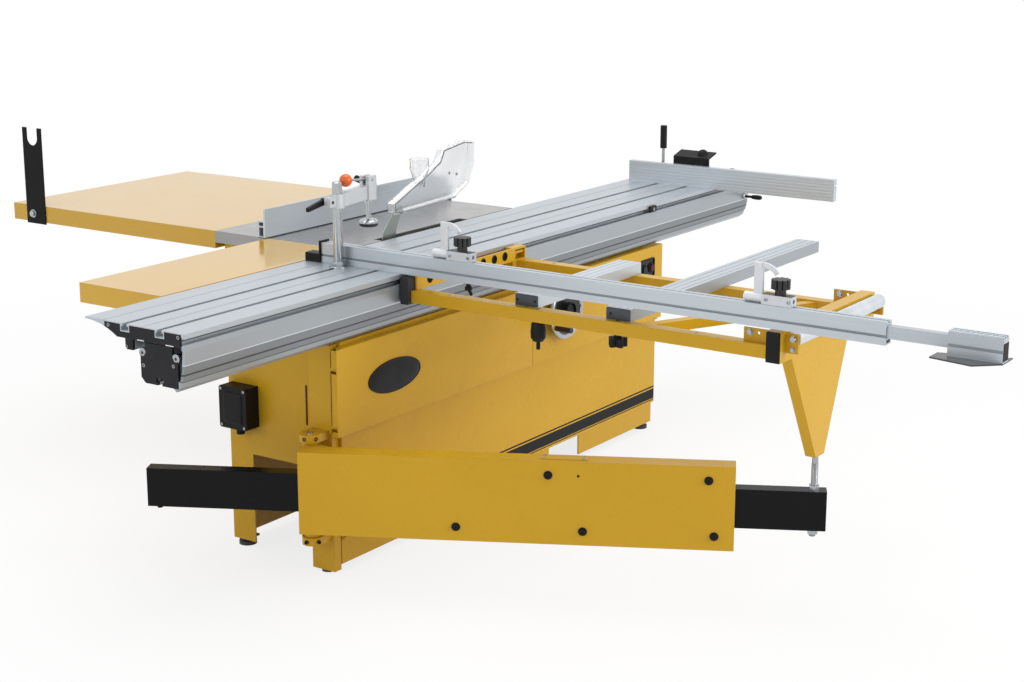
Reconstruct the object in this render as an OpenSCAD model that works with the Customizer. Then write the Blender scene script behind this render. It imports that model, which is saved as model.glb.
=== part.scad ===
// Sliding table saw with outrigger, swing arm, crosscut fence and rip fence.
// Drawing frame: X = 0 in the blade plane, +X to the operator's right, +Y in the
// feed direction with Y = 0 at mid carriage, Z = 0 on the floor.

/* [Sliding table] */
// Height of the table tops above the floor
table_h = 885; // [870:1:900]
// Length of the sliding table and of its base beam
table_len = 3200; // [2800:10:3400]
// Width of the sliding table
table_w = 370; // [360:1:385]
// Gap from the blade plane to the sliding table's edge
blade_gap = 25; // [22:1:30]
// Thickness of the deck
deck_t = 40; // [37:1:43]
// Thickness of the deck's edge beside the blade
wing_t = 5; // [3:1:7]
// Radius of the hollow under the blade-side edge
wing_r = 220; // [205:1:235]
// First T-slot's distance from the blade-side edge
slot_1 = 150; // [146:1:156]
// Second T-slot's distance from the blade-side edge
slot_2 = 279; // [270:1:290]
// Width of a T-slot's mouth
slot_open = 16; // [14:1:18]
// Width of a T-slot's pocket
slot_pocket = 28; // [24:1:32]
// Thickness of a T-slot's lips
slot_lip = 8; // [6:1:9]
// Depth of a T-slot
slot_depth = 20; // [18:1:22]
// Depth of the outer apron
apron_h = 132; // [126:1:136]
// Thickness of the outer apron
apron_t = 9; // [6:1:11]
// Thickness of the end caps
cap_t = 8; // [5:1:12]
// Start of the deck's end caps, from the blade-side edge
cap_from = 73; // [60:1:90]

/* [Base beam] */
// Width of the base beam
base_w = 137; // [125:1:140]
// Bottom of the base beam below the table top
base_drop = 154; // [150:1:160]
// Base beam's outer side in from the sliding table's outer side
base_inset = 28; // [24:1:32]
// Height of the seats between the base frame and the base beam
seat_h = 12; // [10:1:16]
// Radius of the guide rods
rod_r = 9; // [7:0.5:10]
// Radius of the carriage rollers
roller_r = 11; // [9:0.5:12]
// Length of the roller carriage
carriage_len = 1700; // [1400:10:1720]

/* [Cabinet] */
// Left face of the base frame, from the blade plane
frame_left = 358; // [352:1:364]
// Right face of the base frame, from the blade plane
frame_right = 89; // [80:1:100]
// Base frame's end on the operator's side
frame_front = 935; // [900:1:950]
// Base frame's end on the outfeed side
frame_rear = 925; // [915:1:935]
// Sheet thickness
sheet = 4; // [3:0.5:5]
// Bottom edge of the cabinet above the floor
skirt_z = 23; // [18:1:30]
// Top of the recessed skirt
skirt_top = 103; // [95:1:112]
// Recess of the skirt
skirt_in = 12; // [8:1:15]
// Height of the opening in the rear face
rear_open_h = 312; // [290:1:330]
// Right side of the saw cabinet, from the blade plane
saw_right = 540; // [530:1:560]
// Half length of the saw cabinet
saw_half = 440; // [430:1:450]
// Height of the door
door_h = 268; // [255:1:270]
// Door's top below the top of the base frame
door_drop = 11; // [8:1:15]
// How far the door stands out
door_t = 25; // [20:1:26]
// Front edge of the door
door_front = -60; // [-80:1:-50]
// Width of the corner post
post_w = 86; // [80:1:88]
// Depth of the corner post
post_d = 42; // [38:1:46]

/* [Fixed tables] */
// Right edge of the cast table, from the blade plane
main_right = 555; // [550:1:570]
// Rear edge of the fixed tables
main_rear = 470; // [460:1:480]
// Front edge of the cast table
main_front = 470; // [460:1:480]
// Depth of the cast table's rim
main_t = 40; // [36:1:46]
// Right edge of the extension table, from the blade plane
ext_right = 1556; // [1400:1:1700]
// Front edge of the extension table
ext_front = 434; // [420:1:440]
// Depth of the sheet tables' aprons
ext_apron = 60; // [52:1:64]
// Right edge of the outfeed table
out_right = 316; // [280:1:340]
// Rear edge of the outfeed table
out_rear = 1304; // [1200:1:1400]

/* [Crosscut fence] */
// Front face of the fence
cross_y = 673; // [668:1:676]
// Depth of the fence profile
cross_d = 36; // [34:1:40]
// Height of the fence profile
cross_h = 62; // [58:1:64]
// Inner end of the fence
cross_in = 84; // [80:1:95]
// Outer end of the fence
cross_out = 1955; // [1900:1:2000]
// Length of the telescopic extension that shows
ext_show = 165; // [130:1:300]
// Length of the telescopic extension inside the fence
ext_hold = 820; // [700:1:900]
// Length of the extension's end block
end_block = 145; // [130:1:155]

/* [Outrigger] */
// Near rail's front face
near_y = 670; // [668:1:674]
// Far rail's front face
far_y = 100; // [80:1:120]
// Width of the rails
rail_w = 40; // [36:1:44]
// Height of the rails
rail_h = 37; // [34:1:40]
// Top of the rails below the table top
rail_drop = 48; // [47:1:50]
// Inner side of the outer tube, from the blade plane
tube_x = 1617; // [1580:1:1650]
// Width of the outer tube
tube_w = 42; // [38:1:46]
// Height of the outer tube
tube_h = 86; // [80:1:88]
// Bottom of the leg above the floor
leg_z = 461; // [455:1:475]
// Width of the cross bars
bar_w = 80; // [70:1:86]
// Height of the cross bars
bar_h = 36; // [32:1:37]
// Short bar's outer side, from the blade plane
short_x = 873; // [860:1:880]
// Long bar's middle, from the blade plane
long_x = 1145; // [1130:1:1160]
// Long bar's far end, in front of mid carriage
long_far = 572; // [500:1:620]
// Radius of the loading roller
load_r = 21; // [17:0.5:22]

/* [Swing arm] */
// Swing pivot, left of the blade plane
pivot_x = 304; // [300:1:308]
// Swing pivot, behind mid carriage
pivot_y = 1004; // [1000:1:1008]
// Rest angle of the arm from the -X direction
arm_angle = 28; // [26:1:30]
// Bottom of the arm
arm_z = 173; // [168:1:178]
// Height of the arm
arm_h = 252; // [246:1:254]
// Thickness of the arm
arm_t = 64; // [60:1:68]
// Arm centre plane's offset from the pivot
arm_off = 76; // [74:1:80]
// Outer end of the arm, from the pivot
arm_len = 1251; // [1150:1:1270]
// Width of the telescopic beam
beam_w = 46; // [42:1:48]
// Height of the telescopic beam
beam_h = 117; // [110:1:120]
// Inner end of the telescopic beam, from the pivot
beam_tail = 472; // [400:1:500]
// Outer end of the telescopic beam, from the pivot
beam_out = 1509; // [1500:1:1540]
// Radius of the support rod
strut_r = 9; // [7:0.5:10]

/* [Saw unit] */
// Diameter of the saw blade
blade_d = 315; // [300:1:318]
// Thickness of the saw blade
blade_t = 3.2; // [2.4:0.1:4]
// Teeth on the saw blade
teeth = 48; // [24:1:60]
// Blade top below the table top at rest
blade_low = 6; // [4:1:10]
// Radius of the arbor
arbor_r = 15; // [12:0.5:17]
// Radius of the motor body
motor_r = 85; // [75:1:90]
// Radius of the lift columns
column_r = 15; // [12:0.5:18]
// Half width of the blade guard
guard_half = 36; // [32:1:38]
// Wall of the blade guard
guard_wall = 4; // [3:0.5:5]
// Radius of the guard's dust port
port_r = 36; // [32:1:36]
// Radius of the handwheels
wheel_r = 100; // [80:1:105]

/* [Rip fence] */
// Left face of the rip fence, from the blade plane
rip_x = 318; // [310:1:330]
// Height of the rip fence
rip_h = 98; // [90:1:105]
// Height of the hollow foot
rip_foot_h = 58; // [50:1:64]
// Width of the hollow foot
rip_foot_w = 30; // [26:1:34]
// Radius of the guide rail
guide_r = 20; // [17:0.5:22]
// Guide rail in front of the cast table
guide_out = 60; // [52:1:66]

/* [Clamp] */
// Hold-down post's distance behind mid carriage
post_y = 700; // [698:1:704]
// Radius of the hold-down post
post_r = 13; // [11:0.5:13.5]
// Height of the hold-down post
post_h = 265; // [262:1:275]
// Reach of the hold-down arm
hold_reach = 150; // [145:1:160]

/* [End fence] */
// Face of the end fence, in from the sliding table's end
end_back = 355; // [320:1:400]
// Height of the end fence
end_h = 82; // [76:1:90]
// Inner end of the end fence
end_in = 50; // [40:1:60]
// Outer end of the end fence
end_out = 925; // [880:1:960]

/* [Hidden] */
$fn = 64;
// Clearance between pieces that slide past each other
gap = 0.3;
// Radial clearance of shafts in their bores
run = 0.05;
reach = cross_out + ext_show + end_block;
mid_x = (ext_right - reach) / 2;
edge_in = -blade_gap;
edge_out = edge_in - table_w;
half_len = table_len / 2;
deck_z = table_h - deck_t;
leg_in = edge_in - 156;
leg_t = 22;
leg_z0 = table_h - 70;
slot_x1 = edge_in - slot_1;
slot_x2 = edge_in - slot_2;
base_out = edge_out + base_inset;
base_in = base_out + base_w;
base_z = table_h - base_drop;
base_top = deck_z - 2 * gap - 2 * roller_r - rod_r;
// The guide rods lie in the beam's upper corners
rod_inset = rod_r - 2;
rod_in = base_in - rod_inset;
rod_out = base_out + rod_inset;
frame_top = base_z - seat_h;
door_z = frame_top - door_drop - door_h;
end_y = half_len - end_back;
carriage_z = base_top + rod_r + gap + roller_r;
side_slot_z = table_h - 22;
rail_z1 = table_h - rail_drop;
rail_z0 = rail_z1 - rail_h;
rail_in = edge_out - 35;
tube_out = tube_x + tube_w;
tube_mid = (tube_x + tube_out) / 2;
tube_z1 = table_h - 8;
tube_z0 = tube_z1 - tube_h;
far_y0 = far_y - rail_w;
roller_x = tube_out + 24;
roller_z = table_h - 28;
fence_z = table_h + gap;
fence_back = cross_y - cross_d;
cross_piv_x = 110;
cross_piv_y = cross_y - cross_d / 2;
arm_mid = arm_z + arm_h / 2;
arm_wall = 5;
strut_along = beam_out - 36;
arm_roller_z = 83.5;
arm_roller_r = arm_roller_z - beam_h / 2 - gap;
arbor_z = table_h - blade_low - blade_d / 2;
guide_y = -(main_front + guide_out);
guide_z = table_h - 40;
hold_x = slot_x1;
hold_z = table_h + post_h - 58;
head_y = post_y - hold_reach;
wheel_y = -220;
wheel_z = frame_top - 114;
hinge_x = -(frame_left + 14);
hinge_y = frame_rear + 27;
ear_r = 32;
ear_t = 24;
ear_top = arm_z + arm_h + 3;
ear_low = arm_z - 65;
pin_r = 10;

// Shared helpers

// Moves the drawing frame to the centre of the whole machine's footprint
module place() translate([-mid_x, 0, 0]) children();

// Box between two limits on each axis
module block(x, y, z)
  translate([x[0], y[0], z[0]]) cube([x[1] - x[0], y[1] - y[0], z[1] - z[0]]);

// Extrudes an X-Z outline along Y
module along_y(y0, y1) translate([0, y1, 0]) rotate([90, 0, 0]) linear_extrude(y1 - y0) children();

// Extrudes a Y-Z outline along X
module along_x(x0, x1) translate([x0, 0, 0]) rotate([90, 0, 90]) linear_extrude(x1 - x0) children();

module cyl_x(x, y, z, r) translate([x[0], y, z]) rotate([0, 90, 0]) cylinder(r = r, h = x[1] - x[0]);
module cyl_y(x, y, z, r) translate([x, y[1], z]) rotate([90, 0, 0]) cylinder(r = r, h = y[1] - y[0]);
module cyl_z(x, y, z, r) translate([x, y, z[0]]) cylinder(r = r, h = z[1] - z[0]);

// Rectangle given by its limits
module rect(x, y) translate([x[0], y[0]]) square([x[1] - x[0], y[1] - y[0]]);

// T-slot opening upwards at (x, z)
module t_slot(x, z) {
  rect([x - slot_open / 2, x + slot_open / 2], [z - slot_lip - 1, z + 1]);
  rect([x - slot_pocket / 2, x + slot_pocket / 2], [z - slot_depth, z - slot_lip]);
}

// Places a piece drawn in the arm's own frame: +X out along the arm, +Y to its rear
module on_arm() translate([-pivot_x, pivot_y, 0]) rotate([0, 0, 180 + arm_angle]) children();

yellow = "goldenrod";
alu = "lightgray";
black = "#202020";
steel = "silver";

// Cabinet

module frame_shell() {
  lower = [-frame_left, frame_right];
  difference() {
    union() {
      block(lower, [-frame_front, frame_rear], [skirt_top, frame_top]);
      block([-frame_left + skirt_in, frame_right], [-frame_front, frame_rear], [skirt_z, skirt_top + 1]);
      // Control panel standing out of the left face
      block([-frame_left - door_t, -frame_left + 1], [-frame_front, door_front - 5], [door_z, frame_top]);
      // Seats for the base beam
      for (y = [-820, -280, 280, 820])
        block([base_out + 24, base_in - 18], [y - 45, y + 45], [frame_top - 1, base_z]);
    }
    // Inside of the shell, open below
    block([-frame_left + skirt_in + sheet, frame_right - sheet], [-frame_front + sheet, frame_rear - sheet],
      [skirt_z - 1, frame_top - sheet]);
    // Way through to the saw cabinet
    block([frame_right - sheet - 1, frame_right + 1], [-saw_half + 20, saw_half - 20],
      [skirt_top, frame_top + 1]);
    block([base_in + 30, frame_right + 1], [-saw_half + 20, saw_half - 20],
      [frame_top - sheet - 1, frame_top + 1]);
    // Aperture behind the door
    block([-frame_left - 1, -frame_left + skirt_in + sheet + 1], [door_front + 60, frame_rear - 90],
      [door_z + 30, door_z + door_h - 30]);
    // Opening and slot in the rear face
    block([-frame_left - 1, -2], [frame_rear - sheet - 1, frame_rear + 1], [skirt_z - 1, rear_open_h]);
    block([-229, -221], [frame_rear - sheet - 1, frame_rear + 1],
      [frame_top - 276, frame_top - 151]);
    // Fork-lift notches
    for (y = [-321, 321])
      block([-frame_left - 1, frame_right + 1], [y - 97, y + 97], [skirt_z - 1, skirt_top - 3]);
    // Handwheel shaft and button holes
    cyl_x([-frame_left - door_t - 1, -frame_left + 30], wheel_y, wheel_z, 10 + run);
    for (y = button_y)
      cyl_x([-frame_left - door_t - 1, -frame_left - door_t + 14], y, button_z, button_r + gap);
  }
}
button_y = [-800, -852];
button_z = frame_top - 77;
button_r = 14;
module base_frame() color(yellow) place() frame_shell();

module saw_cabinet() color(yellow) place() {
  top = table_h - main_t;
  join = frame_top;
  left = base_in + 30;
  difference() {
    union() {
      block([frame_right, saw_right], [-saw_half, saw_half], [skirt_z, join + 1]);
      block([left, saw_right], [-saw_half, saw_half], [join, top - 65]);
      block([edge_in + 5, saw_right], [-saw_half, saw_half], [join, top]);
      // Dust outlet
      cyl_y(350, [saw_half - 1, saw_half + 60], 250, 60);
    }
    block([frame_right - 1, saw_right - sheet], [-saw_half + sheet, saw_half - sheet],
      [skirt_top, top + 1]);
    block([left - 1, saw_right - sheet], [-saw_half + sheet, saw_half - sheet], [join - 1, top + 1]);
    block([frame_right - 1, saw_right - sheet], [-saw_half + sheet, saw_half - sheet],
      [skirt_z - 1, skirt_top - sheet]);
    cyl_y(350, [saw_half - sheet - 1, saw_half + 61], 250, 57);
    cyl_y(tilt_wheel_x, [-saw_half - 1, -saw_half + 30], tilt_wheel_z, 10 + run);
  }
}
tilt_wheel_x = 330;
tilt_wheel_z = table_h - 285;

lug_r = 8;
module corner_post() color(yellow) place() {
  x1 = -frame_left + 11 + post_w;
  x0 = -frame_left + 11;
  y1 = frame_rear + 31;
  difference() {
    union() {
      block([x0, x1], [y1 - post_d, y1], [8, frame_top - 5]);
      for (z = [ear_low, ear_top]) {
        cyl_z(-pivot_x, pivot_y, [z, z + ear_t], ear_r);
        block([-pivot_x - ear_r, -pivot_x + ear_r], [y1 - 1, pivot_y], [z, z + ear_t]);
      }
      // Door hinge lugs and pins
      for (z = [door_z + 30, door_z + door_h - 60]) {
        cyl_z(hinge_x, hinge_y, [z - 10, z], lug_r);
        block([hinge_x, x0 + 1], [hinge_y - lug_r, hinge_y + 4], [z - 10, z]);
        cyl_z(hinge_x, hinge_y, [z - 1, z + 22], 4);
      }
    }
    // Notch round the base frame's corner
    block([-frame_left - 1, frame_right], [0, frame_rear], [0, frame_top]);
    cyl_z(-pivot_x, pivot_y, [0, frame_top], pin_r);
  }
}

door_rear = frame_rear + 18;
module side_door() color(yellow) place() {
  x = [-frame_left - door_t, -frame_left - gap];
  wall = 3;
  difference() {
    block(x, [door_front, door_rear], [door_z, door_z + door_h]);
    block([x[0] + wall, x[1] + 1], [door_front + wall, door_rear - wall],
      [door_z + wall, door_z + door_h - wall]);
  }
  // Hinge knuckles
  for (z = [door_z + 30, door_z + door_h - 60])
    difference() {
      union() {
        cyl_z(hinge_x, hinge_y, [z + gap, z + 22], 8);
        block([hinge_x - 8, hinge_x + 8], [door_rear - 2, hinge_y], [z + gap, z + 22]);
      }
      cyl_z(hinge_x, hinge_y, [z - 1, z + 23], 4 + run);
    }
}

module button(y) {
  x0 = -frame_left - door_t;
  cyl_x([x0 - 9, x0 + 8], y, button_z, button_r);
}
module start_button() color("green") place() button(button_y[0]);
module stop_button() color("red") place() button(button_y[1]);

// Handwheel with its shaft along +Z from the wheel's plane
module handwheel() {
  rim = 9;
  hub = 24;
  rotate_extrude() translate([wheel_r - rim, 0]) circle(rim, $fn = 24);
  // Dished web from the hub out to the rim
  rotate_extrude() polygon([[hub - 4, 4], [wheel_r - rim, -3], [wheel_r - rim, 3], [hub - 4, 12]]);
  translate([0, 0, -14]) cylinder(r = hub, h = 32);
  cylinder(r = 10, h = wheel_stand + 12);
  translate([wheel_r - rim, 0, -72]) cylinder(r = 11, h = 66);
}
wheel_stand = 34;
module lift_handwheel() color(steel) place()
  translate([-frame_left - door_t - wheel_stand, wheel_y, wheel_z])
    rotate([0, 90, 0]) rotate(60) handwheel();
module tilt_handwheel() color(steel) place()
  translate([tilt_wheel_x, -saw_half - wheel_stand, tilt_wheel_z])
    rotate([-90, 0, 0]) rotate(60) handwheel();

module hinge_pin() color(steel) place() cyl_z(-pivot_x, pivot_y, [ear_low - 6, ear_top + ear_t + 4], pin_r);

foot_half = 26;
foot_in = sheet + foot_half;
foot_spots = [[-frame_left + skirt_in + foot_in, -frame_front + foot_in],
  [frame_right - foot_in, -frame_front + foot_in],
  [frame_right - foot_in, frame_rear - foot_in], [saw_right - foot_in, -saw_half + foot_in],
  [saw_right - foot_in, saw_half - foot_in]];
module levelling_feet() color("dimgray") place() {
  for (p = foot_spots) {
    cyl_z(p[0], p[1], [0, 12], 28);
    cyl_z(p[0], p[1], [11, skirt_z + 4], 9);
    block([p[0] - foot_half, p[0] + foot_half], [p[1] - foot_half, p[1] + foot_half],
      [skirt_z, skirt_z + 6]);
  }
  cyl_z(-pivot_x, frame_rear + 10, [0, 8], 20);
}

box_x = [-32, 74];
box_z = [frame_top - 313, frame_top - 184];
box_d = 60;
module round_rect(x, y, r) {
  rect([x[0] + r, x[1] - r], y);
  rect(x, [y[0] + r, y[1] - r]);
  for (u = [x[0] + r, x[1] - r], v = [y[0] + r, y[1] - r]) translate([u, v]) circle(r);
}
module junction_box() color(black) place() {
  y0 = frame_rear;
  difference() {
    union() {
      block(box_x, [y0, y0 + box_d - 14], box_z);
      along_y(y0 + box_d - 16, y0 + box_d)
        round_rect([box_x[0] - 2, box_x[1] + 2], [box_z[0] - 2, box_z[1] + 2], 8);
      cyl_z(20, y0 + 28, [box_z[0] - 24, box_z[0] + 1], 13);
    }
    cyl_z(20, y0 + 28, [box_z[0] - 25, box_z[0] - 4], 8);
  }
}

// Fixed tables

blade_slot = [-190, 290];
module main_table() color("gray") place() {
  left = edge_in + 5;
  plate = 12;
  difference() {
    block([left, main_right], [-main_front, main_rear], [table_h - main_t, table_h]);
    // Pockets between the ribs
    for (x = [[60, 240], [260, 400], [420, main_right - 20]],
         y = [[-main_front + 20, -160], [-140, 140], [160, main_rear - 20]])
      block(x, y, [table_h - main_t - 1, table_h - plate]);
    // Blade opening, clear for the tilted blade and knife
    block([left - 1, 14], blade_slot, [table_h - main_t - 1, table_h + 1]);
    along_y(blade_slot[0], blade_slot[1])
      polygon([[14, table_h - 6], [40, table_h - main_t - 1], [left - 1, table_h - main_t - 1],
        [left - 1, table_h - 6]]);
    // Room over the arbor housing
    block([10, 61], [-60, 60], [table_h - main_t - 1, table_h - 22]);
  }
  // Cast arcs that the saw unit tilts on
  for (s = [-1, 1])
    translate([0, s * (trunnion_y + 1), table_h]) along_y(-11, 11) {
      arc_band(trunnion_r + gap, trunnion_r + 24, 285, 345);
      difference() {
        rect([0.62 * trunnion_r, trunnion_r + 60], [-main_t - 56, -plate + 1]);
        circle(trunnion_r + 12);
      }
    }
}

// Folded sheet table with a skirt all round
module sheet_table(x, y) {
  top = 5;
  wall = 4;
  difference() {
    block(x, y, [table_h - ext_apron, table_h]);
    block([x[0] + wall, x[1] - wall], [y[0] + wall, y[1] - wall], [table_h - ext_apron - 1, table_h - top]);
  }
  // Stiffening channels under the top
  for (i = [1, 2]) {
    xr = x[0] + (x[1] - x[0]) * i / 3;
    block([xr - 15, xr + 15], [y[0] + wall - 1, y[1] - wall + 1], [table_h - 30, table_h - top + 1]);
  }
}
module extension_table() color(yellow) place()
  difference() {
    sheet_table([main_right, ext_right], [-ext_front, main_rear]);
    cyl_y(ext_right - 108, [main_rear - 10, main_rear + 1], table_h - ext_apron / 2, 6);
  }
module outfeed_table() color(yellow) place() sheet_table([edge_in + 7, out_right], [main_rear, out_rear]);
strut_out = 345;
module table_supports() color(yellow) place() {
  x_top = main_right + strut_out;
  for (y = [-300, 0])
    along_y(y - 20, y + 20)
      polygon([[saw_right, 360], [saw_right, 420], [x_top - 60, table_h - 30], [x_top, table_h - 30]]);
  for (y = [frame_rear - 330, frame_rear - 60])
    block([20, 60], [y - 20, y + 20], [frame_top, table_h - 5]);
}

fork_x = ext_right - 122;
module hose_fork() color(black) place() {
  y0 = main_rear;
  difference() {
    along_y(y0, y0 + 5)
      difference() {
        rect([fork_x - 48, fork_x + 48], [table_h - ext_apron - 6, table_h + 284]);
        translate([fork_x, table_h + 248]) circle(28);
        rect([fork_x - 28, fork_x + 28], [table_h + 248, table_h + 290]);
      }
    cyl_y(ext_right - 108, [y0 - 1, y0 + 6], table_h - ext_apron / 2, 6);
  }
  cyl_y(ext_right - 108, [y0 - 8, y0 + 14], table_h - ext_apron / 2, 6);
}

module guide_rail() color(steel) place() {
  cyl_x([edge_in + 15, ext_right - 20], guide_y, guide_z, guide_r);
  for (x = [60, 300, 520])
    block([x - 15, x + 15], [guide_y + guide_r - 3, -main_front], [guide_z - 16, guide_z + 8]);
  for (x = [main_right + 300, ext_right - 120])
    block([x - 15, x + 15], [guide_y + guide_r - 3, -ext_front], [guide_z - 16, guide_z + 8]);
}

// Sliding table and its base

module base_outline() {
  difference() {
    union() {
      rect([base_out, base_in], [base_z, base_top]);
      // Lip that guards the rollers below the apron
      polygon([[base_out + 4, base_z + 22], [base_out - 12, base_z + 19], [base_out - 7, base_z + 4],
        [base_out + 9, base_z - 9], [base_out + 20, base_z + 1]]);
    }
    polygon([[base_in + 1, base_z + 16], [base_in + 1, base_z - 1], [base_in - 16, base_z - 1]]);
    translate([(base_out + base_in) / 2, base_z]) mirror([0, 1]) t_slot(0, 0);
    translate([rod_in, base_top]) circle(rod_r);
    translate([rod_out, base_top]) circle(rod_r);
  }
}
cap_ends = [[-half_len, -half_len + cap_t], [half_len - cap_t, half_len]];
module base_beam() color(alu) place()
  difference() {
    along_y(-half_len, half_len) base_outline();
    for (y = cap_ends) along_y(y[0], y[1]) base_box();
  }
module base_box() rect([base_out, base_in], [base_z, base_top]);
module base_end_caps() color(black) place()
  for (y = cap_ends) along_y(y[0], y[1]) {
    intersection() {
      base_outline();
      base_box();
    }
    // Upstand in front of the rollers
    rect([rod_out + rod_r + 3, rod_in - rod_r - 3], [base_top - 1, deck_z - 2]);
  }
module guide_rods() color(steel) place()
  for (x = [rod_in, rod_out]) cyl_y(x, [-half_len, half_len], base_top, rod_r);

module roller_carriage() color("dimgray") place() {
  block([rod_out + 10, rod_in - 10], [-carriage_len / 2, carriage_len / 2],
    [carriage_z - 4, carriage_z + 4]);
  for (i = [-2:2], x = [[rod_out - 8, rod_out + 12], [rod_in - 12, rod_in + 8]])
    cyl_x(x, i * (carriage_len / 2 - 40) / 2, carriage_z, roller_r);
}

module deck_outline() {
  difference() {
    union() {
      rect([edge_out, edge_in], [deck_z, table_h]);
      rect([leg_in - leg_t, leg_in + 6], [leg_z0, deck_z + 1]);
      // Bulged outer apron
      polygon([[edge_out, table_h - 1], [edge_out - 1, table_h - 45], [edge_out + 5, table_h - 102],
        [edge_out + 12, table_h - apron_h], [edge_out + 12 + apron_t, table_h - apron_h],
        [edge_out + 5 + apron_t, table_h - 100], [edge_out + apron_t, deck_z - 8],
        [edge_out + apron_t + 10, deck_z + 1]]);
    }
    translate([edge_in, table_h - wing_t - wing_r]) circle(wing_r, $fn = 128);
    t_slot(slot_x1, table_h);
    t_slot(slot_x2, table_h);
    // Side slot that the outrigger clamps to
    rect([edge_out - 2, edge_out + 8], [side_slot_z - 8, side_slot_z + 8]);
    rect([edge_out + 7, edge_out + 18], [side_slot_z - 11.5, side_slot_z + 11.5]);
    // Shallow decorative grooves
    for (a = [70, 215]) rect([edge_in - a - 1.5, edge_in - a + 1.5], [table_h - 2, table_h + 1]);
  }
}
// Outline of an end cap, which leaves the wing, the top skin, the slots and the apron bare
module cap_outline() {
  skin = 3;
  half = slot_pocket / 2 + skin;
  difference() {
    intersection() {
      deck_outline();
      rect([edge_out + apron_t + skin, edge_in - cap_from], [leg_z0, table_h - skin]);
    }
    for (x = [slot_x1, slot_x2]) rect([x - half, x + half], [table_h - slot_depth - skin, table_h]);
  }
}
module sliding_table() color(alu) place()
  difference() {
    along_y(-half_len, half_len) deck_outline();
    for (y = cap_ends) along_y(y[0], y[1]) cap_outline();
    cyl_z(-cross_piv_x, cross_piv_y, [table_h - 12, table_h + 1], 8 + run);
  }
module table_end_caps() color(black) place() for (y = cap_ends) along_y(y[0], y[1]) cap_outline();

// End fence

end_t = 24;
module end_fence() color(alu) place() {
  y0 = -end_y - end_t;
  difference() {
    block([-end_out, -end_in], [y0, -end_y], [table_h, table_h + end_h]);
    for (i = [1:6])
      block([-end_out - 1, -end_in + 1], [-end_y - 1.5, -end_y + 1],
        [table_h + i * end_h / 7 - 2, table_h + i * end_h / 7 + 2]);
    // T-slot along the back
    block([-end_out - 1, -end_in + 1], [y0 - 1, y0 + 10], [table_h + 54, table_h + 62]);
    block([-end_out - 1, -end_in + 1], [y0 + 4, y0 + 10], [table_h + 50, table_h + 66]);
  }
  // Clamp foot over the first T-slot
  block([slot_x1 - 30, slot_x1 + 30], [y0 - 50, y0 + 1], [table_h, table_h + 46]);
}
lever_y = -end_y - end_t - 25;
module end_fence_lever() color(black) place() {
  z0 = table_h + 46 + gap;
  cyl_z(slot_x1, lever_y, [z0, z0 + 10], 14);
  cyl_z(slot_x1, lever_y, [z0 + 9, z0 + 90], 6);
  cyl_z(slot_x1, lever_y, [z0 + 88, z0 + 176], 13);
}
module push_grip() color(black) place() {
  y0 = -end_y - end_t;
  block([-390, -235], [y0 - 5, y0], [table_h + 20, table_h + end_h + 30]);
  along_x(-390, -235) polygon([[y0, table_h + end_h + 25], [y0, table_h + end_h + 30],
    [y0 - 60, table_h + end_h + 48], [y0 - 62, table_h + end_h + 43]]);
  translate([-342, y0 - 40, table_h + end_h + 36]) sphere(22);
}

// Hold-down clamp

module hold_down_post() color(steel) place() {
  cyl_z(hold_x, post_y, [table_h - slot_lip, table_h + 1], slot_open / 2 - gap);
  cyl_z(hold_x, post_y, [table_h, table_h + post_h], post_r);
  translate([hold_x, post_y, table_h]) cylinder(r = 20, h = 17, $fn = 6);
}
module hold_down_arm() color(alu) place()
  difference() {
    union() {
      cyl_z(hold_x, post_y, [hold_z - 22, hold_z + 20], post_r + 10);
      // Web out to the head
      along_x(hold_x - 14, hold_x + 14)
        polygon([[post_y - post_r, hold_z - 20], [post_y - post_r, hold_z + 20], [head_y + 15, hold_z + 29],
          [head_y + 15, hold_z - 14]]);
      block([hold_x - 18, hold_x + 18], [head_y - 19, head_y + 19], [hold_z - 18, hold_z + 58]);
      // Split lug for the ratchet handle
      block([hold_x - 12, hold_x + 12], [post_y + post_r + 4, post_y + post_r + 34],
        [hold_z - 16, hold_z + 14]);
    }
    cyl_z(hold_x, post_y, [0, 2000], post_r + run);
    cyl_z(hold_x, head_y, [hold_z - 19, hold_z + 36], 8 + run);
    block([hold_x - 6 - gap, hold_x + 6 + gap], [head_y - 20, head_y + 20], [hold_z + 30, hold_z + 59]);
    cyl_x([hold_x - 30, hold_x + 30], head_y, hold_z + 45, 5 + run);
    cyl_x([hold_x - 30, hold_x + 30], post_y + post_r + 22, hold_z - 1, 5 + run);
  }
module hold_down_handle() color(black) place() {
  y0 = post_y + post_r + 22;
  cyl_x([hold_x - 12, hold_x + 30], y0, hold_z - 1, 5);
  cyl_x([hold_x + 12 + gap, hold_x + 30], y0, hold_z - 1, 11);
  along_x(hold_x + 18, hold_x + 29)
    polygon([[y0, hold_z - 10], [y0, hold_z + 8], [y0 + 78, hold_z - 10], [y0 + 78, hold_z - 22]]);
}
module hold_down_lever() color("orangered") place() {
  cyl_x([hold_x - 18, hold_x + 18], head_y, hold_z + 45, 5);
  cyl_x([hold_x - 6, hold_x + 6], head_y, hold_z + 45, 12);
  translate([hold_x, head_y, hold_z + 45]) rotate([-84, 0, 0]) cylinder(r = 4, h = 95);
  translate([hold_x, head_y + 108, hold_z + 56]) sphere(20);
}
pad_r = 30;
pad_drop = 101;
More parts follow.
